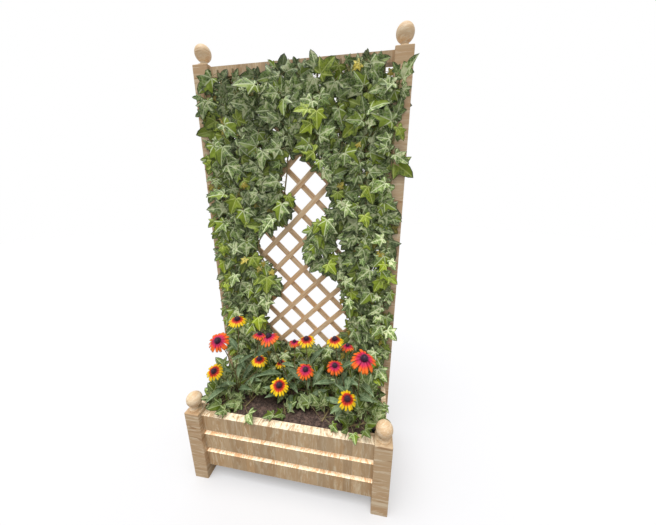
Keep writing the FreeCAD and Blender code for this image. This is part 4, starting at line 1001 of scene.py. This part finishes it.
def points_mesh(name: str, copies: Sequence[Copy]) -> bpy.types.Mesh:
    """A mesh of points that carry each copy's turn, span, pick and facts."""
    mesh = bpy.data.meshes.new(name)
    mesh.from_pydata([copy.place for copy in copies], [], [])
    turns = []
    for copy in copies:
        matrix = Matrix((copy.across, copy.along, copy.facing)).transposed()
        turns.extend(matrix.to_euler())
    mesh.attributes.new("turn", "FLOAT_VECTOR", "POINT").data.foreach_set("vector", turns)
    spans = [value for copy in copies for value in copy.span]
    mesh.attributes.new("span", "FLOAT_VECTOR", "POINT").data.foreach_set("vector", spans)
    mesh.attributes.new("pick", "INT", "POINT").data.foreach_set("value", [copy.pick for copy in copies])
    facts = [value for copy in copies for value in copy.facts]
    mesh.attributes.new("facts", "FLOAT_VECTOR", "POINT").data.foreach_set("vector", facts)
    return mesh


def template_set(name: str, meshes: Sequence[bpy.types.Mesh]) -> bpy.types.Collection:
    """A collection of template objects that is not itself in the scene."""
    collection = bpy.data.collections.new(name)
    for index, mesh in enumerate(meshes):
        collection.objects.link(bpy.data.objects.new(f"{name}_{index:02d}", mesh))
    return collection


def drop_templates(collection: bpy.types.Collection) -> None:
    """Remove the template objects once their copies are plain meshes."""
    for item in list(collection.objects):
        bpy.data.objects.remove(item)
    bpy.data.collections.remove(collection)


def merged(name: str, meshes: Sequence[bpy.types.Mesh]) -> bpy.types.Mesh:
    """Join meshes into one, keeping their materials and attributes."""
    objects = [new_object(f"{name}_{index}", mesh) for index, mesh in enumerate(meshes)]
    with bpy.context.temp_override(active_object=objects[0], selected_editable_objects=objects,
                                   selected_objects=objects, object=objects[0]):
        bpy.ops.object.join()
    mesh = objects[0].data
    mesh.name = name
    bpy.data.objects.remove(objects[0])
    return mesh


def hand_over(name: str, mesh: bpy.types.Mesh, slot: str, *nodes: str) -> bpy.types.Object:
    """Put a finished mesh in the scene in the place of its CAD nodes.

    Args:
        name: the piece's name.
        mesh: its mesh, in place.
        slot: the record's material slot; not used.
        nodes: the CAD nodes that it stands for.

    Returns:
        The piece.
    """
    piece = new_object(name, mesh)
    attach(piece, ROOT)
    if nodes:
        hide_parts(*nodes)
    LOG.info("%s: %d faces", name, len(mesh.polygons))
    return piece


def paint(node: str, material: bpy.types.Material) -> None:
    """Replace a CAD node's materials."""
    materials = frame["nodes"][node].data.materials
    materials.clear()
    materials.append(material)


# ---------------------------------------------------------------- sub-assemblies
NEAR_FULL_TURN = 6.28
NEAR_HALF_TURN = 3.1
GOLDEN_ANGLE = math.pi * (3 - math.sqrt(5))


@dataclass
class TimberFrame:
    """Posts, finials, boards, trellis and what is hidden inside the box.

    The top faces and edges of the boards get a painted highlight and glow, as if lit from above: the first
    strength is for the lower boards, the second for the upper ones.
    """

    stave: float = 0.034
    # Strengths of the painted top highlight and glow, for the lower and the upper boards.
    painted_top_glows: tuple[float, float] = (0.58, 0.05)

    def dress(self) -> None:
        """Give each timber node its finish."""
        post = Timber("post_timber_level_grain", Grain.LEVEL_ON_POST, body=ink(196, 168, 132),
                      warm=ink(186, 150, 110), line=ink(156, 114, 72), line_share=0.75, size=1.3).material()
        long_boards = self._board_finishes("long", Grain.UPRIGHT_ON_LONG_BOARD, 0)
        side_boards = self._board_finishes("side", Grain.UPRIGHT_ON_SIDE_BOARD, 1)
        turned = Timber("turned_timber", Grain.TURNED, body=ink(222, 194, 156), pale=ink(234, 216, 186),
                        warm=ink(202, 166, 124), line=ink(170, 130, 90), line_share=0.5, size=0.7).material()
        rising = Timber("slat_timber_rising", Grain.ALONG_RISING_SLAT, body=ink(226, 194, 152),
                        pale=ink(234, 212, 178), warm=ink(206, 162, 114), line=ink(146, 104, 66),
                        size=0.6).material()
        falling = Timber("slat_timber_falling", Grain.ALONG_FALLING_SLAT, body=ink(220, 188, 148),
                         pale=ink(230, 208, 174), warm=ink(200, 156, 110), line=ink(140, 98, 62),
                         size=0.6).material()
        rail = Timber("rail_timber", Grain.UPRIGHT_ON_LONG_BOARD, body=ink(204, 178, 144), stave=self.stave,
                      line_share=0.4).material()
        along_x = Timber("hidden_timber_along_x", Grain.ALONG_X, body=ink(178, 148, 108)).material()
        along_y = Timber("hidden_timber_along_y", Grain.ALONG_Y, body=ink(178, 148, 108)).material()
        steel = Plain("zinc_screws", ink(176, 178, 182), ink(140, 142, 148), 900, 0.32, 1.0).material()
        liner = Plain("liner_black", ink(24, 24, 25), ink(38, 38, 40), 60, 0.55).material()
        for node in frame["nodes"]:
            if node.startswith("post_"):
                paint(node, post)
            elif node.startswith("finial_"):
                paint(node, turned)
            elif node.startswith(("front_board", "back_board")):
                paint(node, long_boards[node.endswith("upper")])
            elif node.startswith(("left_board", "right_board")):
                paint(node, side_boards[node.endswith("upper")])
        for node, material in {
            "trellis_front_slats": rising, "trellis_rear_slats": falling,
            "trellis_top_rail": rail, "trellis_bottom_rail": rail,
            "rail_dowels": along_x, "bearer_front": along_x, "bearer_back": along_x, "floor_slats": along_y,
            "end_battens": post, "side_battens": post,
            "batten_screws": steel, "bearer_screws": steel, "planting_liner": liner,
        }.items():
            paint(node, material)
        LOG.info("timber, screws and liner dressed")

    def _board_finishes(self, side: str, grain: Grain, axis: int) -> list[bpy.types.Material]:
        """The two finishes of the boards on a pair of sides, with their staves set out along an axis; they
        differ only in the strength of their painted top glow.
        """
        return [Timber(f"board_timber_{side}_{index}", grain, stave=self.stave, stave_axis=axis,
                       line_share=0.18, painted_top_glow=glow).material() for index, glow in enumerate(self.painted_top_glows)]


@dataclass
class Bed:
    """The soil: an uneven surface with crumbs on it."""

    growth: Growth
    step: float = 0.008
    unevenness: float = 0.0035
    roughness: float = 0.0009
    surface_seed: int = 5
    crumbs: int = 1500
    crumb_size: tuple[float, float] = (0.0016, 0.0046)
    crumb_flatness: tuple[float, float] = (0.6, 1.0)
    crumb_reach: float = 0.985
    notch_reach: float = 0.98
    crumb_stand: float = 0.35
    crumb_seed: int = 11

    def build(self) -> None:
        """Make the soil and put it in the place of its solid."""
        soil = Soil().material()
        low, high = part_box("potting_soil")
        points = solids_of("potting_soil")[0]
        notch_x = float(np.abs(points[:, 0])[np.abs(points[:, 1]) > high.y - 0.001].max())
        notch_y = float(np.abs(points[:, 1])[np.abs(points[:, 0]) > high.x - 0.001].max())
        top = self._block(low, high, notch_x, notch_y)
        top.materials.append(soil)
        crumbs = self._crumbs(high, notch_x, notch_y, soil)
        hand_over("soil_bed", merged("soil_bed", [top, crumbs]), "soil", "potting_soil")

    def _lines(self, end: float, notch: float) -> list[float]:
        """Grid lines from -end to end that hit the notches."""
        inner = max(1, round(2 * notch / self.step))
        outer = max(1, round((end - notch) / self.step))
        middle = [-notch + 2 * notch * index / inner for index in range(inner + 1)]
        edge = [notch + (end - notch) * (index + 1) / outer for index in range(outer)]
        return [-value for value in reversed(edge)] + middle + edge

    def _level(self, x: float, y: float) -> float:
        """Height of the surface over its mean at a place."""
        return self.unevenness * (
            0.5 * math.sin(31 * x + 1.3) * math.cos(43 * y) + 0.3 * math.sin(97 * x + 61 * y)
            + 0.35 * math.sin(173 * x - 139 * y + 2.1))

    def _block(self, low: Vector, high: Vector, notch_x: float, notch_y: float) -> bpy.types.Mesh:
        """The closed block with its uneven top."""
        chance = random.Random(self.surface_seed)
        xs = self._lines(high.x, notch_x)
        ys = self._lines(high.y, notch_y)
        work = bmesh.new()
        grid = {}
        for i, x in enumerate(xs):
            for j, y in enumerate(ys):
                if abs(x) <= notch_x + 1e-6 or abs(y) <= notch_y + 1e-6:
                    grid[i, j] = work.verts.new((x, y, high.z))
        faces = []
        for i in range(len(xs) - 1):
            for j in range(len(ys) - 1):
                corners = [(i, j), (i + 1, j), (i + 1, j + 1), (i, j + 1)]
                if all(corner in grid for corner in corners):
                    middle_x = abs(xs[i] + xs[i + 1]) / 2
                    middle_y = abs(ys[j] + ys[j + 1]) / 2
                    if middle_x < notch_x or middle_y < notch_y:
                        faces.append(work.faces.new([grid[corner] for corner in corners]))
        lowered = bmesh.ops.extrude_face_region(work, geom=faces, use_keep_orig=True)
        for item in lowered["geom"]:
            if isinstance(item, bmesh.types.BMVert):
                item.co.z = low.z
        for corner in grid.values():
            if not corner.link_faces:
                continue
            corner.co.z += (self._level(corner.co.x, corner.co.y)
                            + chance.uniform(-self.roughness, self.roughness))
        bmesh.ops.delete(work, geom=[v for v in work.verts if not v.link_faces], context="VERTS")
        return finish_mesh(work, "soil_block")

    def _crumbs(self, high: Vector, notch_x: float, notch_y: float,
                soil: bpy.types.Material) -> bpy.types.Mesh:
        """Crumbs strewn over the surface."""
        chance = random.Random(self.crumb_seed)
        templates = template_set("crumb", [lump(f"crumb_shape_{seed}", seed) for seed in range(3)])
        copies = []
        while len(copies) < self.crumbs:
            x = chance.uniform(-high.x, high.x) * self.crumb_reach
            y = chance.uniform(-high.y, high.y) * self.crumb_reach
            if abs(x) > notch_x * self.notch_reach and abs(y) > notch_y * self.notch_reach:
                continue
            size = chance.uniform(*self.crumb_size)
            spin = Matrix.Rotation(chance.uniform(0, NEAR_FULL_TURN), 3, "Z")
            tip = Matrix.Rotation(chance.uniform(0, NEAR_HALF_TURN), 3, "X")
            place = Vector((x, y, high.z + self._level(x, y) + size * self.crumb_stand))
            span = (size, size, size * chance.uniform(*self.crumb_flatness))
            copies.append(Copy(place, *(spin @ tip).transposed(), span, chance.randrange(3)))
        mesh = self.growth.plant("soil_crumbs", copies, templates, soil)
        drop_templates(templates)
        return mesh


GROUND_IVY = "ivy_ground_leaves"
GROUND_LEAF_SIDE = Vector((0, -0.6, 0.8))
CLIMBING_LEAF_SIDE = Vector((0, -1, 0.3))
SEEN_FROM = Vector((0.315, -0.915, 1.219))
TRELLIS_DEPTH = 0.165
CROWN_FROM = 1.60
CROWN_TO = 1.685
CROWN_SLACK = 0.03
CROWN_DIP = 0.025
CROWN_DIP_END = -0.12
CROWN_HALF_WIDTH = 0.33
CROWN_SPARSENESS = 1.25
BLADE_MIDDLE = 0.45


@dataclass
class Ivy:
    """Climbing and creeping ivy: curved blades and stalks in the place of the flat leaves."""

    growth: Growth
    blade_size: float = 1.02
    blade_spread: tuple[float, float] = (0.96, 1.06)
    blade_seed: int = 100
    hang: float = 0.22
    turn: float = 0.65
    levelling: float = 1.4
    lift: float = 0.30
    deepest: float = 0.135
    depth: float = 0.07
    depth_shade_share: float = 0.65
    ground_tones: tuple[float, float] = (0.25, 0.4)
    stalk_radius: float = 0.0008
    stalk_sides: int = 5
    stalk_bow: float = 0.10
    stalk_under_blade: float = 0.06
    hole: float = 0.021
    company: float = 0.085
    twin_seed: int = 7
    twin_tries: int = 14
    twin_turn_from: float = 35
    twin_turn_to: float = 120
    twin_turn_at_crown: float = 170
    twin_forward: float = 0.12
    twin_stalk: tuple[float, float] = (0.014, 0.046)
    twin_share: tuple[float, float] = (0.62, 0.95)
    twin_length: tuple[float, float] = (0.028, 0.064)
    kinds: dict[str, tuple[str, str]] = field(default_factory=lambda: {
        "ivy_leaves_variegated": ("ivy_variegated", "variegated"),
        "ivy_leaves_olive": ("ivy_olive", "olive"),
        "ivy_leaves_yellow": ("ivy_yellow", "yellow"),
        "ivy_leaves_young": ("ivy_young", "young"),
        "ivy_ground_leaves": ("ivy_variegated", "ground"),
    })

    def build(self) -> None:
        """Make every kind of leaf and dress the stems."""
        finishes = self._finishes()
        templates = template_set("ivy_blade", [template.mesh() for template in self._templates()])
        stem = Plain("ivy_stem_bark", ink(150, 124, 92), ink(124, 122, 78), 260, 0.7,
                     relief=0.0006).material()
        stalk = Plain("ivy_stalk_green", ink(142, 150, 92), ink(150, 112, 84), 120, 0.55).material()
        for node in ("ivy_climbing_stems", "ivy_runners"):
            paint(node, stem)
        leaves = {}
        for node in self.kinds:
            towards = GROUND_LEAF_SIDE if node == GROUND_IVY else CLIMBING_LEAF_SIDE
            leaves[node] = [read_leaf(points, towards) for points in solids_of(node)]
        self._add_twins(leaves)
        for seed, (node, (slot, finish)) in enumerate(self.kinds.items()):
            blades = self._blades(node, leaves[node], seed, templates, finishes[finish])
            stalks = self._stalks(node, leaves[node], stalk)
            hand_over(node.replace("leaves", "foliage"), merged(f"{node}_mesh", [blades, stalks]), slot, node)
        drop_templates(templates)

    @staticmethod
    def _shown_at(point: Vector) -> tuple[float, float]:
        """Where on the trellis a point is seen from in front of the planter: across and up."""
        share = (TRELLIS_DEPTH - SEEN_FROM.y) / (point.y - SEEN_FROM.y)
        shown = SEEN_FROM + (point - SEEN_FROM) * share
        return shown.x, shown.z

    def _add_twins(self, leaves: dict[str, list[FlatLeaf]]) -> None:
        """Give climbing leaves a smaller twin from the same knot where it closes a hole in the foliage.

        Args:
            leaves: the leaves of every kind, to which the twins are added.
        """
        chance = random.Random(self.twin_seed)
        climbing = [(node, leaf) for node in leaves if node != GROUND_IVY for leaf in leaves[node]]
        seen = [self._shown_at(leaf.blade + leaf.along * (BLADE_MIDDLE * leaf.length))
                for _, leaf in climbing]
        shortest, longest = self.twin_length
        added = 0
        for node, leaf in climbing:
            at_crown = leaf.foot.z > CROWN_FROM - CROWN_SLACK
            widest = self.twin_turn_at_crown if at_crown else self.twin_turn_to
            for _ in range(self.twin_tries):
                angle = chance.choice((-1, 1)) * math.radians(chance.uniform(self.twin_turn_from, widest))
                along = Matrix.Rotation(angle, 3, leaf.facing) @ leaf.along
                along.y = min(along.y, -self.twin_forward)
                along.normalize()
                stalk = chance.uniform(*self.twin_stalk)
                length = min(longest, max(shortest, leaf.length * chance.uniform(*self.twin_share)))
                middle = leaf.foot + along * (stalk + BLADE_MIDDLE * length)
                if not self._is_hole(self._shown_at(middle), np.array(seen)):
                    continue
                facing = (leaf.facing - along * leaf.facing.dot(along)).normalized()
                leaves[node].append(FlatLeaf(leaf.foot, along, facing, length, stalk))
                seen.append(self._shown_at(middle))
                added += 1
                break
        LOG.info("%d twin leaves", added)

    def _is_hole(self, spot: tuple[float, float], seen: np.ndarray) -> bool:
        """True for a spot with no leaf on it and with leaves all round it, or below it at the very top."""
        across, up = seen[:, 0] - spot[0], seen[:, 1] - spot[1]
        gap = np.hypot(across, up)
        if gap.min() < self.hole:
            return False
        near = gap < self.company
        quarters = [(near & (across * x > 0) & (up * z > 0)).any() for x in (-1, 1) for z in (-1, 1)]
        if all(quarters):
            return True
        top = CROWN_TO if spot[0] > CROWN_DIP_END else CROWN_TO - CROWN_DIP
        return (CROWN_FROM < spot[1] < top and abs(spot[0]) < CROWN_HALF_WIDTH
                and bool(quarters[0] and quarters[2]) and gap.min() > CROWN_SPARSENESS * self.hole)

    @staticmethod
    def _templates() -> list[BladeTemplate]:
        """Blade shapes that the leaves take turns with."""
        return [
            BladeTemplate("ivy_blade_a", IVY_HALF, (0.0, 0.20), 0.55, 0.30, 0.018, 0.4),
            BladeTemplate("ivy_blade_b", IVY_WIDE, (0.0, 0.18), 0.40, 0.42, 0.026, -0.7),
            BladeTemplate("ivy_blade_c", IVY_NARROW, (0.0, 0.22), 0.70, 0.22, 0.014, 1.0),
            BladeTemplate("ivy_blade_d", IVY_HALF, (0.0, 0.20), 0.35, 0.48, 0.034, -1.3),
        ]

    @staticmethod
    def _finishes() -> dict[str, bpy.types.Material]:
        """The leaf finishes by name."""
        leaves = {
            "variegated": IvyLeaf("ivy_leaf_variegated", deep=ink(78, 108, 22), middle=ink(144, 176, 80),
                                  pale=ink(232, 236, 190), vein=ink(244, 255, 208), plain=ink(184, 206, 14)),
            # A darker copy of the variegated finish for the same leaves: painted shade for the ivy that lies
            # low in the box.
            "ground": IvyLeaf("ivy_leaf_ground_shaded", deep=ink(70, 98, 24), middle=ink(132, 156, 78),
                              pale=ink(204, 208, 164), vein=ink(212, 230, 172), plain=ink(140, 158, 22)),
            "olive": IvyLeaf("ivy_leaf_olive", deep=ink(114, 138, 10), middle=ink(164, 186, 24),
                             pale=ink(190, 206, 92), vein=ink(232, 246, 140), plain=ink(182, 202, 14),
                             pale_from=0.60, plain_share=0.7, speckle_share=0.15),
            "yellow": IvyLeaf("ivy_leaf_yellow", deep=ink(124, 124, 22), middle=ink(214, 186, 38),
                              pale=ink(232, 210, 84), vein=ink(244, 234, 144), plain=ink(222, 184, 36),
                              pale_from=0.52, speckle_share=0.2),
            "young": IvyLeaf("ivy_leaf_young", deep=ink(62, 90, 28), middle=ink(114, 146, 66),
                             pale=ink(186, 198, 140), vein=ink(212, 232, 168), plain=ink(128, 152, 26),
                             pale_from=0.54, speckle_share=0.2),
        }
        return {name: leaf.material() for name, leaf in leaves.items()}

    def _blades(self, node: str, leaves: Sequence[FlatLeaf], seed: int, templates: bpy.types.Collection,
                finish: bpy.types.Material) -> bpy.types.Mesh:
        """Set a blade on every stalk."""
        chance = random.Random(self.blade_seed + seed)
        turn = 0.0 if node == GROUND_IVY else self.turn
        copies = []
        for leaf in leaves:
            outward = (SEEN_FROM - leaf.blade).normalized()
            along = leaf.along + Vector((0, 0, -self.hang))
            along = (along - outward * (self.levelling * turn * max(0.0, along.dot(outward)))).normalized()
            outward.z += self.lift
            facing = leaf.facing.lerp(outward, turn)
            facing = (facing - along * facing.dot(along)).normalized()
            length = leaf.length * chance.uniform(*self.blade_spread)
            # The tone carries painted shade: deeper climbing leaves are darker, those further out brighter.
            tone = self._tone_and_depth_shade(node, leaf, chance)
            copies.append(Copy(leaf.blade, along.cross(facing), along, facing, (length, length, length),
                               chance.randrange(4), (tone, chance.random(), chance.random())))
        return self.growth.plant(f"{node}_blades", copies, templates, finish, self.blade_size)

    def _tone_and_depth_shade(self, node: str, leaf: FlatLeaf, chance: random.Random) -> float:
        """How bright a leaf is: partly at random, and for climbing leaves painted shade that darkens them the
        deeper they stand and brightens them the further out.
        """
        if node == GROUND_IVY:
            least, spread = self.ground_tones
            return least + spread * chance.random()
        front = min(1.0, max(0.0, (self.deepest - leaf.blade.y) / self.depth))
        return (1.0 - self.depth_shade_share) * chance.random() + self.depth_shade_share * front

    def _stalks(self, node: str, leaves: Sequence[FlatLeaf], finish: bpy.types.Material) -> bpy.types.Mesh:
        """A bent stalk from every stem to its blade."""
        points, lines = [], []
        for leaf in leaves:
            first = len(points)
            bow = leaf.facing * (self.stalk_bow * leaf.stalk)
            for share in (0.0, 0.35, 0.7, 1.0):
                points.append(leaf.foot + leaf.along * (leaf.stalk * share)
                              + bow * math.sin(math.pi * share))
            points.append(leaf.blade + leaf.along * (self.stalk_under_blade * leaf.length))
            lines += [(first + index, first + index + 1) for index in range(4)]
        base = bpy.data.meshes.new(f"{node}_stalk_lines")
        base.from_pydata(points, lines, [])
        return self.growth.grow(f"{node}_stalks", self.growth.tubes, base,
                                {"Radius": self.stalk_radius, "Sides": self.stalk_sides, "Finish": finish})


LANCE_LEAF_SIDE = Vector((0, -0.4, 1))


@dataclass
class Flowers:
    """Cone flowers: drooping petals, a dome of florets, lance leaves and stems."""

    growth: Growth
    petals: int = 17
    petal_seed: int = 31
    petal_sway: float = 0.16
    petal_tilt: tuple[float, float] = (-0.16, 0.02)
    petal_length: tuple[float, float] = (1.0, 1.12)
    inner_share: float = 0.20
    florets: int = 84
    floret_size: float = 0.115
    floret_stretch: float = 1.5
    floret_sink: float = 0.95
    cone_share: float = 0.88
    dome_share: float = 0.94
    lance_seed: int = 47
    lance_width: float = 1.25

    def build(self) -> None:
        """Make every part of the flowers."""
        heads = {node: [read_head(points) for points in solids_of(node)]
                 for node in ("flower_petals_red_yellow", "flower_petals_pink_orange")}
        self._petals(heads)
        self._cones([head for group in heads.values() for head in group])
        self._lance_leaves()
        stem = Plain("flower_stem_green", ink(108, 110, 62), ink(122, 92, 66), 180, 0.6).material()
        paint("flower_stems", stem)

    def _petals(self, heads: dict[str, list[Head]]) -> None:
        """Set petals round every head."""
        red_yellow = Petal("petal_red_to_yellow", (
            (0.0, ink(84, 6, 14)), (0.20, ink(148, 12, 12)), (0.36, ink(212, 38, 10)),
            (0.46, ink(252, 116, 4)), (0.56, ink(255, 206, 2)), (1.0, ink(255, 232, 10)))).material()
        pink_orange = Petal("petal_pink_to_orange", (
            (0.0, ink(110, 8, 64)), (0.20, ink(180, 14, 86)), (0.38, ink(222, 30, 84)),
            (0.52, ink(244, 72, 44)), (0.66, ink(252, 112, 24)), (1.0, ink(255, 134, 30)))).material()
        templates = template_set("petal", [
            PetalTemplate("petal_shape_a", 0.17, 0.36, (-0.12, 0.0, -0.09, 0.0, -0.12)).mesh(),
            PetalTemplate("petal_shape_b", 0.155, 0.46, (-0.10, -0.03, -0.12, 0.01, -0.14)).mesh(),
            PetalTemplate("petal_shape_c", 0.185, 0.30, (-0.15, 0.01, -0.07, -0.02, -0.10)).mesh(),
        ])
        chance = random.Random(self.petal_seed)
        for (node, group), finish, slot in zip(heads.items(), (red_yellow, pink_orange),
                                               ("petal_red_yellow", "petal_pink_orange")):
            copies = []
            for head in group:
                plane = head.facing.to_track_quat("Z", "Y").to_matrix()
                first = chance.uniform(0, NEAR_FULL_TURN)
                for index in range(self.petals):
                    sway = chance.uniform(-self.petal_sway, self.petal_sway)
                    angle = first + 2 * math.pi * (index + sway) / self.petals
                    radial = plane @ Vector((math.cos(angle), math.sin(angle), 0))
                    tilt = chance.uniform(*self.petal_tilt)
                    along = (radial + head.facing * tilt).normalized()
                    facing = (head.facing - along * head.facing.dot(along)).normalized()
                    twist = Matrix.Rotation(chance.uniform(-self.petal_sway, self.petal_sway), 3, along)
                    facing = twist @ facing
                    length = head.radius * (1 - self.inner_share) * chance.uniform(*self.petal_length)
                    place = head.middle + radial * (head.radius * self.inner_share)
                    copies.append(Copy(place, along.cross(facing), along, facing, (length, length, length),
                                       chance.randrange(3),
                                       (chance.random(), chance.random(), chance.random())))
            mesh = self.growth.plant(f"{node}_mesh", copies, templates, finish)
            hand_over(node.replace("flower_petals", "ray_petals"), mesh, slot, node)
        drop_templates(templates)

    def _cones(self, heads: Sequence[Head]) -> None:
        """A dome of florets on every head."""
        finish = Cone().material()
        templates = template_set("floret", [lump("floret_shape", 3, 1, 0.05)])
        domes, copies = [], []
        solids = solids_of("flower_cones")
        for head in heads:
            points = min(solids, key=lambda item: (Vector(item.mean(axis=0)) - head.middle).length)
            offset = points - np.array(head.middle)
            rise = offset @ np.array(head.facing)
            radius = self.cone_share * float(np.linalg.norm(offset - np.outer(rise, np.array(head.facing)),
                                                            axis=1).max())
            height = float(rise.max())
            plane = head.facing.to_track_quat("Z", "Y").to_matrix()
            domes.append(self._dome(head, plane, radius * self.dome_share, height * self.dome_share))
            for index in range(self.florets):
                level = 1 - (index + 0.5) / self.florets
                ring = math.sqrt(1 - level * level)
                angle = index * GOLDEN_ANGLE
                across, up = radius * ring * math.cos(angle), radius * ring * math.sin(angle)
                spot = Vector((across, up, height * level))
                size = radius * self.floret_size * (0.75 + 0.45 * ring)
                out = (plane @ Vector((spot.x / radius, spot.y / radius, spot.z / height))).normalized()
                axes = out.to_track_quat("Z", "Y").to_matrix().transposed()
                copies.append(Copy(head.middle + plane @ spot * self.floret_sink, *axes,
                                   (size, size, size * self.floret_stretch)))
        florets = self.growth.plant("florets", copies, templates, finish)
        drop_templates(templates)
        for dome in domes:
            dome.materials.append(finish)
        hand_over("flower_domes", merged("flower_domes", [florets, *domes]), "flower_cone", "flower_cones")

    @staticmethod
    def _dome(head: Head, plane: Matrix, radius: float, height: float, sides: int = 20,
              rings: int = 6) -> bpy.types.Mesh:
        """A closed dome on a head."""
        work = bmesh.new()
        rows = []
        for row in range(rings):
            angle = 0.5 * math.pi * row / rings
            rows.append([work.verts.new(head.middle + plane @ Vector((
                radius * math.cos(angle) * math.cos(2 * math.pi * side / sides),
                radius * math.cos(angle) * math.sin(2 * math.pi * side / sides),
                height * math.sin(angle)))) for side in range(sides)])
        crown = work.verts.new(head.middle + plane @ Vector((0, 0, height)))
        for low, high in zip(rows, rows[1:]):
            for side in range(sides):
                after = (side + 1) % sides
                work.faces.new((low[side], low[after], high[after], high[side]))
        for side in range(sides):
            work.faces.new((rows[-1][side], rows[-1][(side + 1) % sides], crown))
        work.faces.new(list(reversed(rows[0])))
        return finish_mesh(work, "dome")

    def _lance_leaves(self) -> None:
        """Long leaves on the flower stems."""
        finish = FlowerLeaf().material()
        templates = template_set("lance", [
            BladeTemplate("lance_a", LANCE_HALF, (0.0, 0.45), 0.8, 0.25, 0.004, 0.3, inner=0.6).mesh(),
            BladeTemplate("lance_b", LANCE_HALF, (0.0, 0.45), 1.1, 0.45, 0.006, -0.8, inner=0.6).mesh(),
        ])
        chance = random.Random(self.lance_seed)
        copies = []
        for points in solids_of("flower_lance_leaves"):
            leaf = read_leaf(points, LANCE_LEAF_SIDE)
            whole = leaf.length + leaf.stalk
            copies.append(Copy(leaf.foot, leaf.along.cross(leaf.facing), leaf.along, leaf.facing,
                               (whole * self.lance_width, whole, leaf.length), chance.randrange(2),
                               (chance.random(), chance.random(), chance.random())))
        mesh = self.growth.plant("lance_mesh", copies, templates, finish)
        drop_templates(templates)
        hand_over("flower_lance_foliage", mesh, "flower_leaf", "flower_lance_leaves")


@dataclass
class Studio:
    """Camera at the photograph's angle, pale floor, plain light from above."""

    eye: tuple[float, float, float] = (0.314586, -0.915420, 1.218680)
    look: tuple[float, float, float] = (-0.174455, 0.946724, -0.270701)
    lens: float = 14.066
    sun_strength: float = 3.1
    sun_softness: float = math.radians(48)
    sun_from: tuple[float, float, float] = (-0.12, -0.28, 1.40)
    sky_strength: float = 0.62
    floor_radius: float = 9.0
    floor_drop: float = 0.0002
    floor_grey: Colour = (0.44, 0.44, 0.45, 1.0)
    floor_glow: float = 0.32
    floor_bounce: Colour = (0.34, 0.34, 0.34, 1.0)

    def build(self) -> None:
        """Make camera, lamp, world and floor."""
        camera = bpy.data.objects.new("camera", bpy.data.cameras.new("camera"))
        bpy.context.scene.collection.objects.link(camera)
        camera.location = self.eye
        camera.rotation_mode = "QUATERNION"
        camera.rotation_quaternion = Vector(self.look).to_track_quat("-Z", "Y")
        camera.data.sensor_width = 36.0
        camera.data.lens = self.lens
        camera.data.clip_start = 0.02
        bpy.context.scene.camera = camera
        bpy.context.scene.view_settings.view_transform = "Standard"
        lamp = bpy.data.lights.new("sun", "SUN")
        lamp.energy = self.sun_strength
        lamp.angle = self.sun_softness
        sun = bpy.data.objects.new("sun", lamp)
        bpy.context.scene.collection.objects.link(sun)
        sun.rotation_mode = "QUATERNION"
        sun.rotation_quaternion = (-Vector(self.sun_from)).to_track_quat("-Z", "Y")
        self._world()
        self._floor()

    def _world(self) -> None:
        """White where it is seen, softer as a light."""
        world = bpy.data.worlds.new("studio")
        bpy.context.scene.world = world
        world.use_nodes = True
        tree = world.node_tree
        tree.nodes.clear()
        path = tree.nodes.new("ShaderNodeLightPath")
        seen = tree.nodes.new("ShaderNodeMath")
        seen.operation = "MAXIMUM"
        tree.links.new(path.outputs["Is Camera Ray"], seen.inputs[0])
        tree.links.new(path.outputs["Is Transmission Ray"], seen.inputs[1])
        light = tree.nodes.new("ShaderNodeBackground")
        light.inputs["Strength"].default_value = self.sky_strength
        white = tree.nodes.new("ShaderNodeBackground")
        white.inputs["Strength"].default_value = 1.0
        for shade in (light, white):
            shade.inputs["Color"].default_value = WHITE
        mix = tree.nodes.new("ShaderNodeMixShader")
        tree.links.new(seen.outputs[0], mix.inputs[0])
        tree.links.new(light.outputs[0], mix.inputs[1])
        tree.links.new(white.outputs[0], mix.inputs[2])
        output = tree.nodes.new("ShaderNodeOutputWorld")
        tree.links.new(mix.outputs[0], output.inputs[0])

    def _floor(self) -> None:
        """A pale floor that keeps the planter's shadow and is white elsewhere."""
        graph = Graph("pale_floor")
        seen = graph.node("ShaderNodeLightPath", output="Is Camera Ray")
        pale = graph.node("ShaderNodeBsdfDiffuse", inputs={"Color": self.floor_grey})
        glow = graph.node("ShaderNodeEmission", inputs={"Color": WHITE, "Strength": self.floor_glow})
        shown = graph.node("ShaderNodeAddShader", inputs={0: pale, 1: glow})
        bounce = graph.node("ShaderNodeBsdfDiffuse", inputs={"Color": self.floor_bounce})
        graph.node_output(graph.node("ShaderNodeMixShader", inputs={0: seen, 1: bounce, 2: shown}))
        work = bmesh.new()
        bmesh.ops.create_circle(work, cap_ends=True, segments=96, radius=self.floor_radius)
        for corner in work.verts:
            corner.co.z = -self.floor_drop
        mesh = bpy.data.meshes.new("floor")
        work.to_mesh(mesh)
        work.free()
        mesh.materials.append(graph.material)
        floor = new_object("floor", mesh)


def main() -> None:
    """Dress the planter in order."""
    logging.basicConfig(level=logging.INFO, format="%(name)s: %(message)s")
    growth = Growth()
    TimberFrame().dress()
    Bed(growth).build()
    Ivy(growth).build()
    Flowers(growth).build()
    Studio().build()


if __name__ == "__main__":
    main()
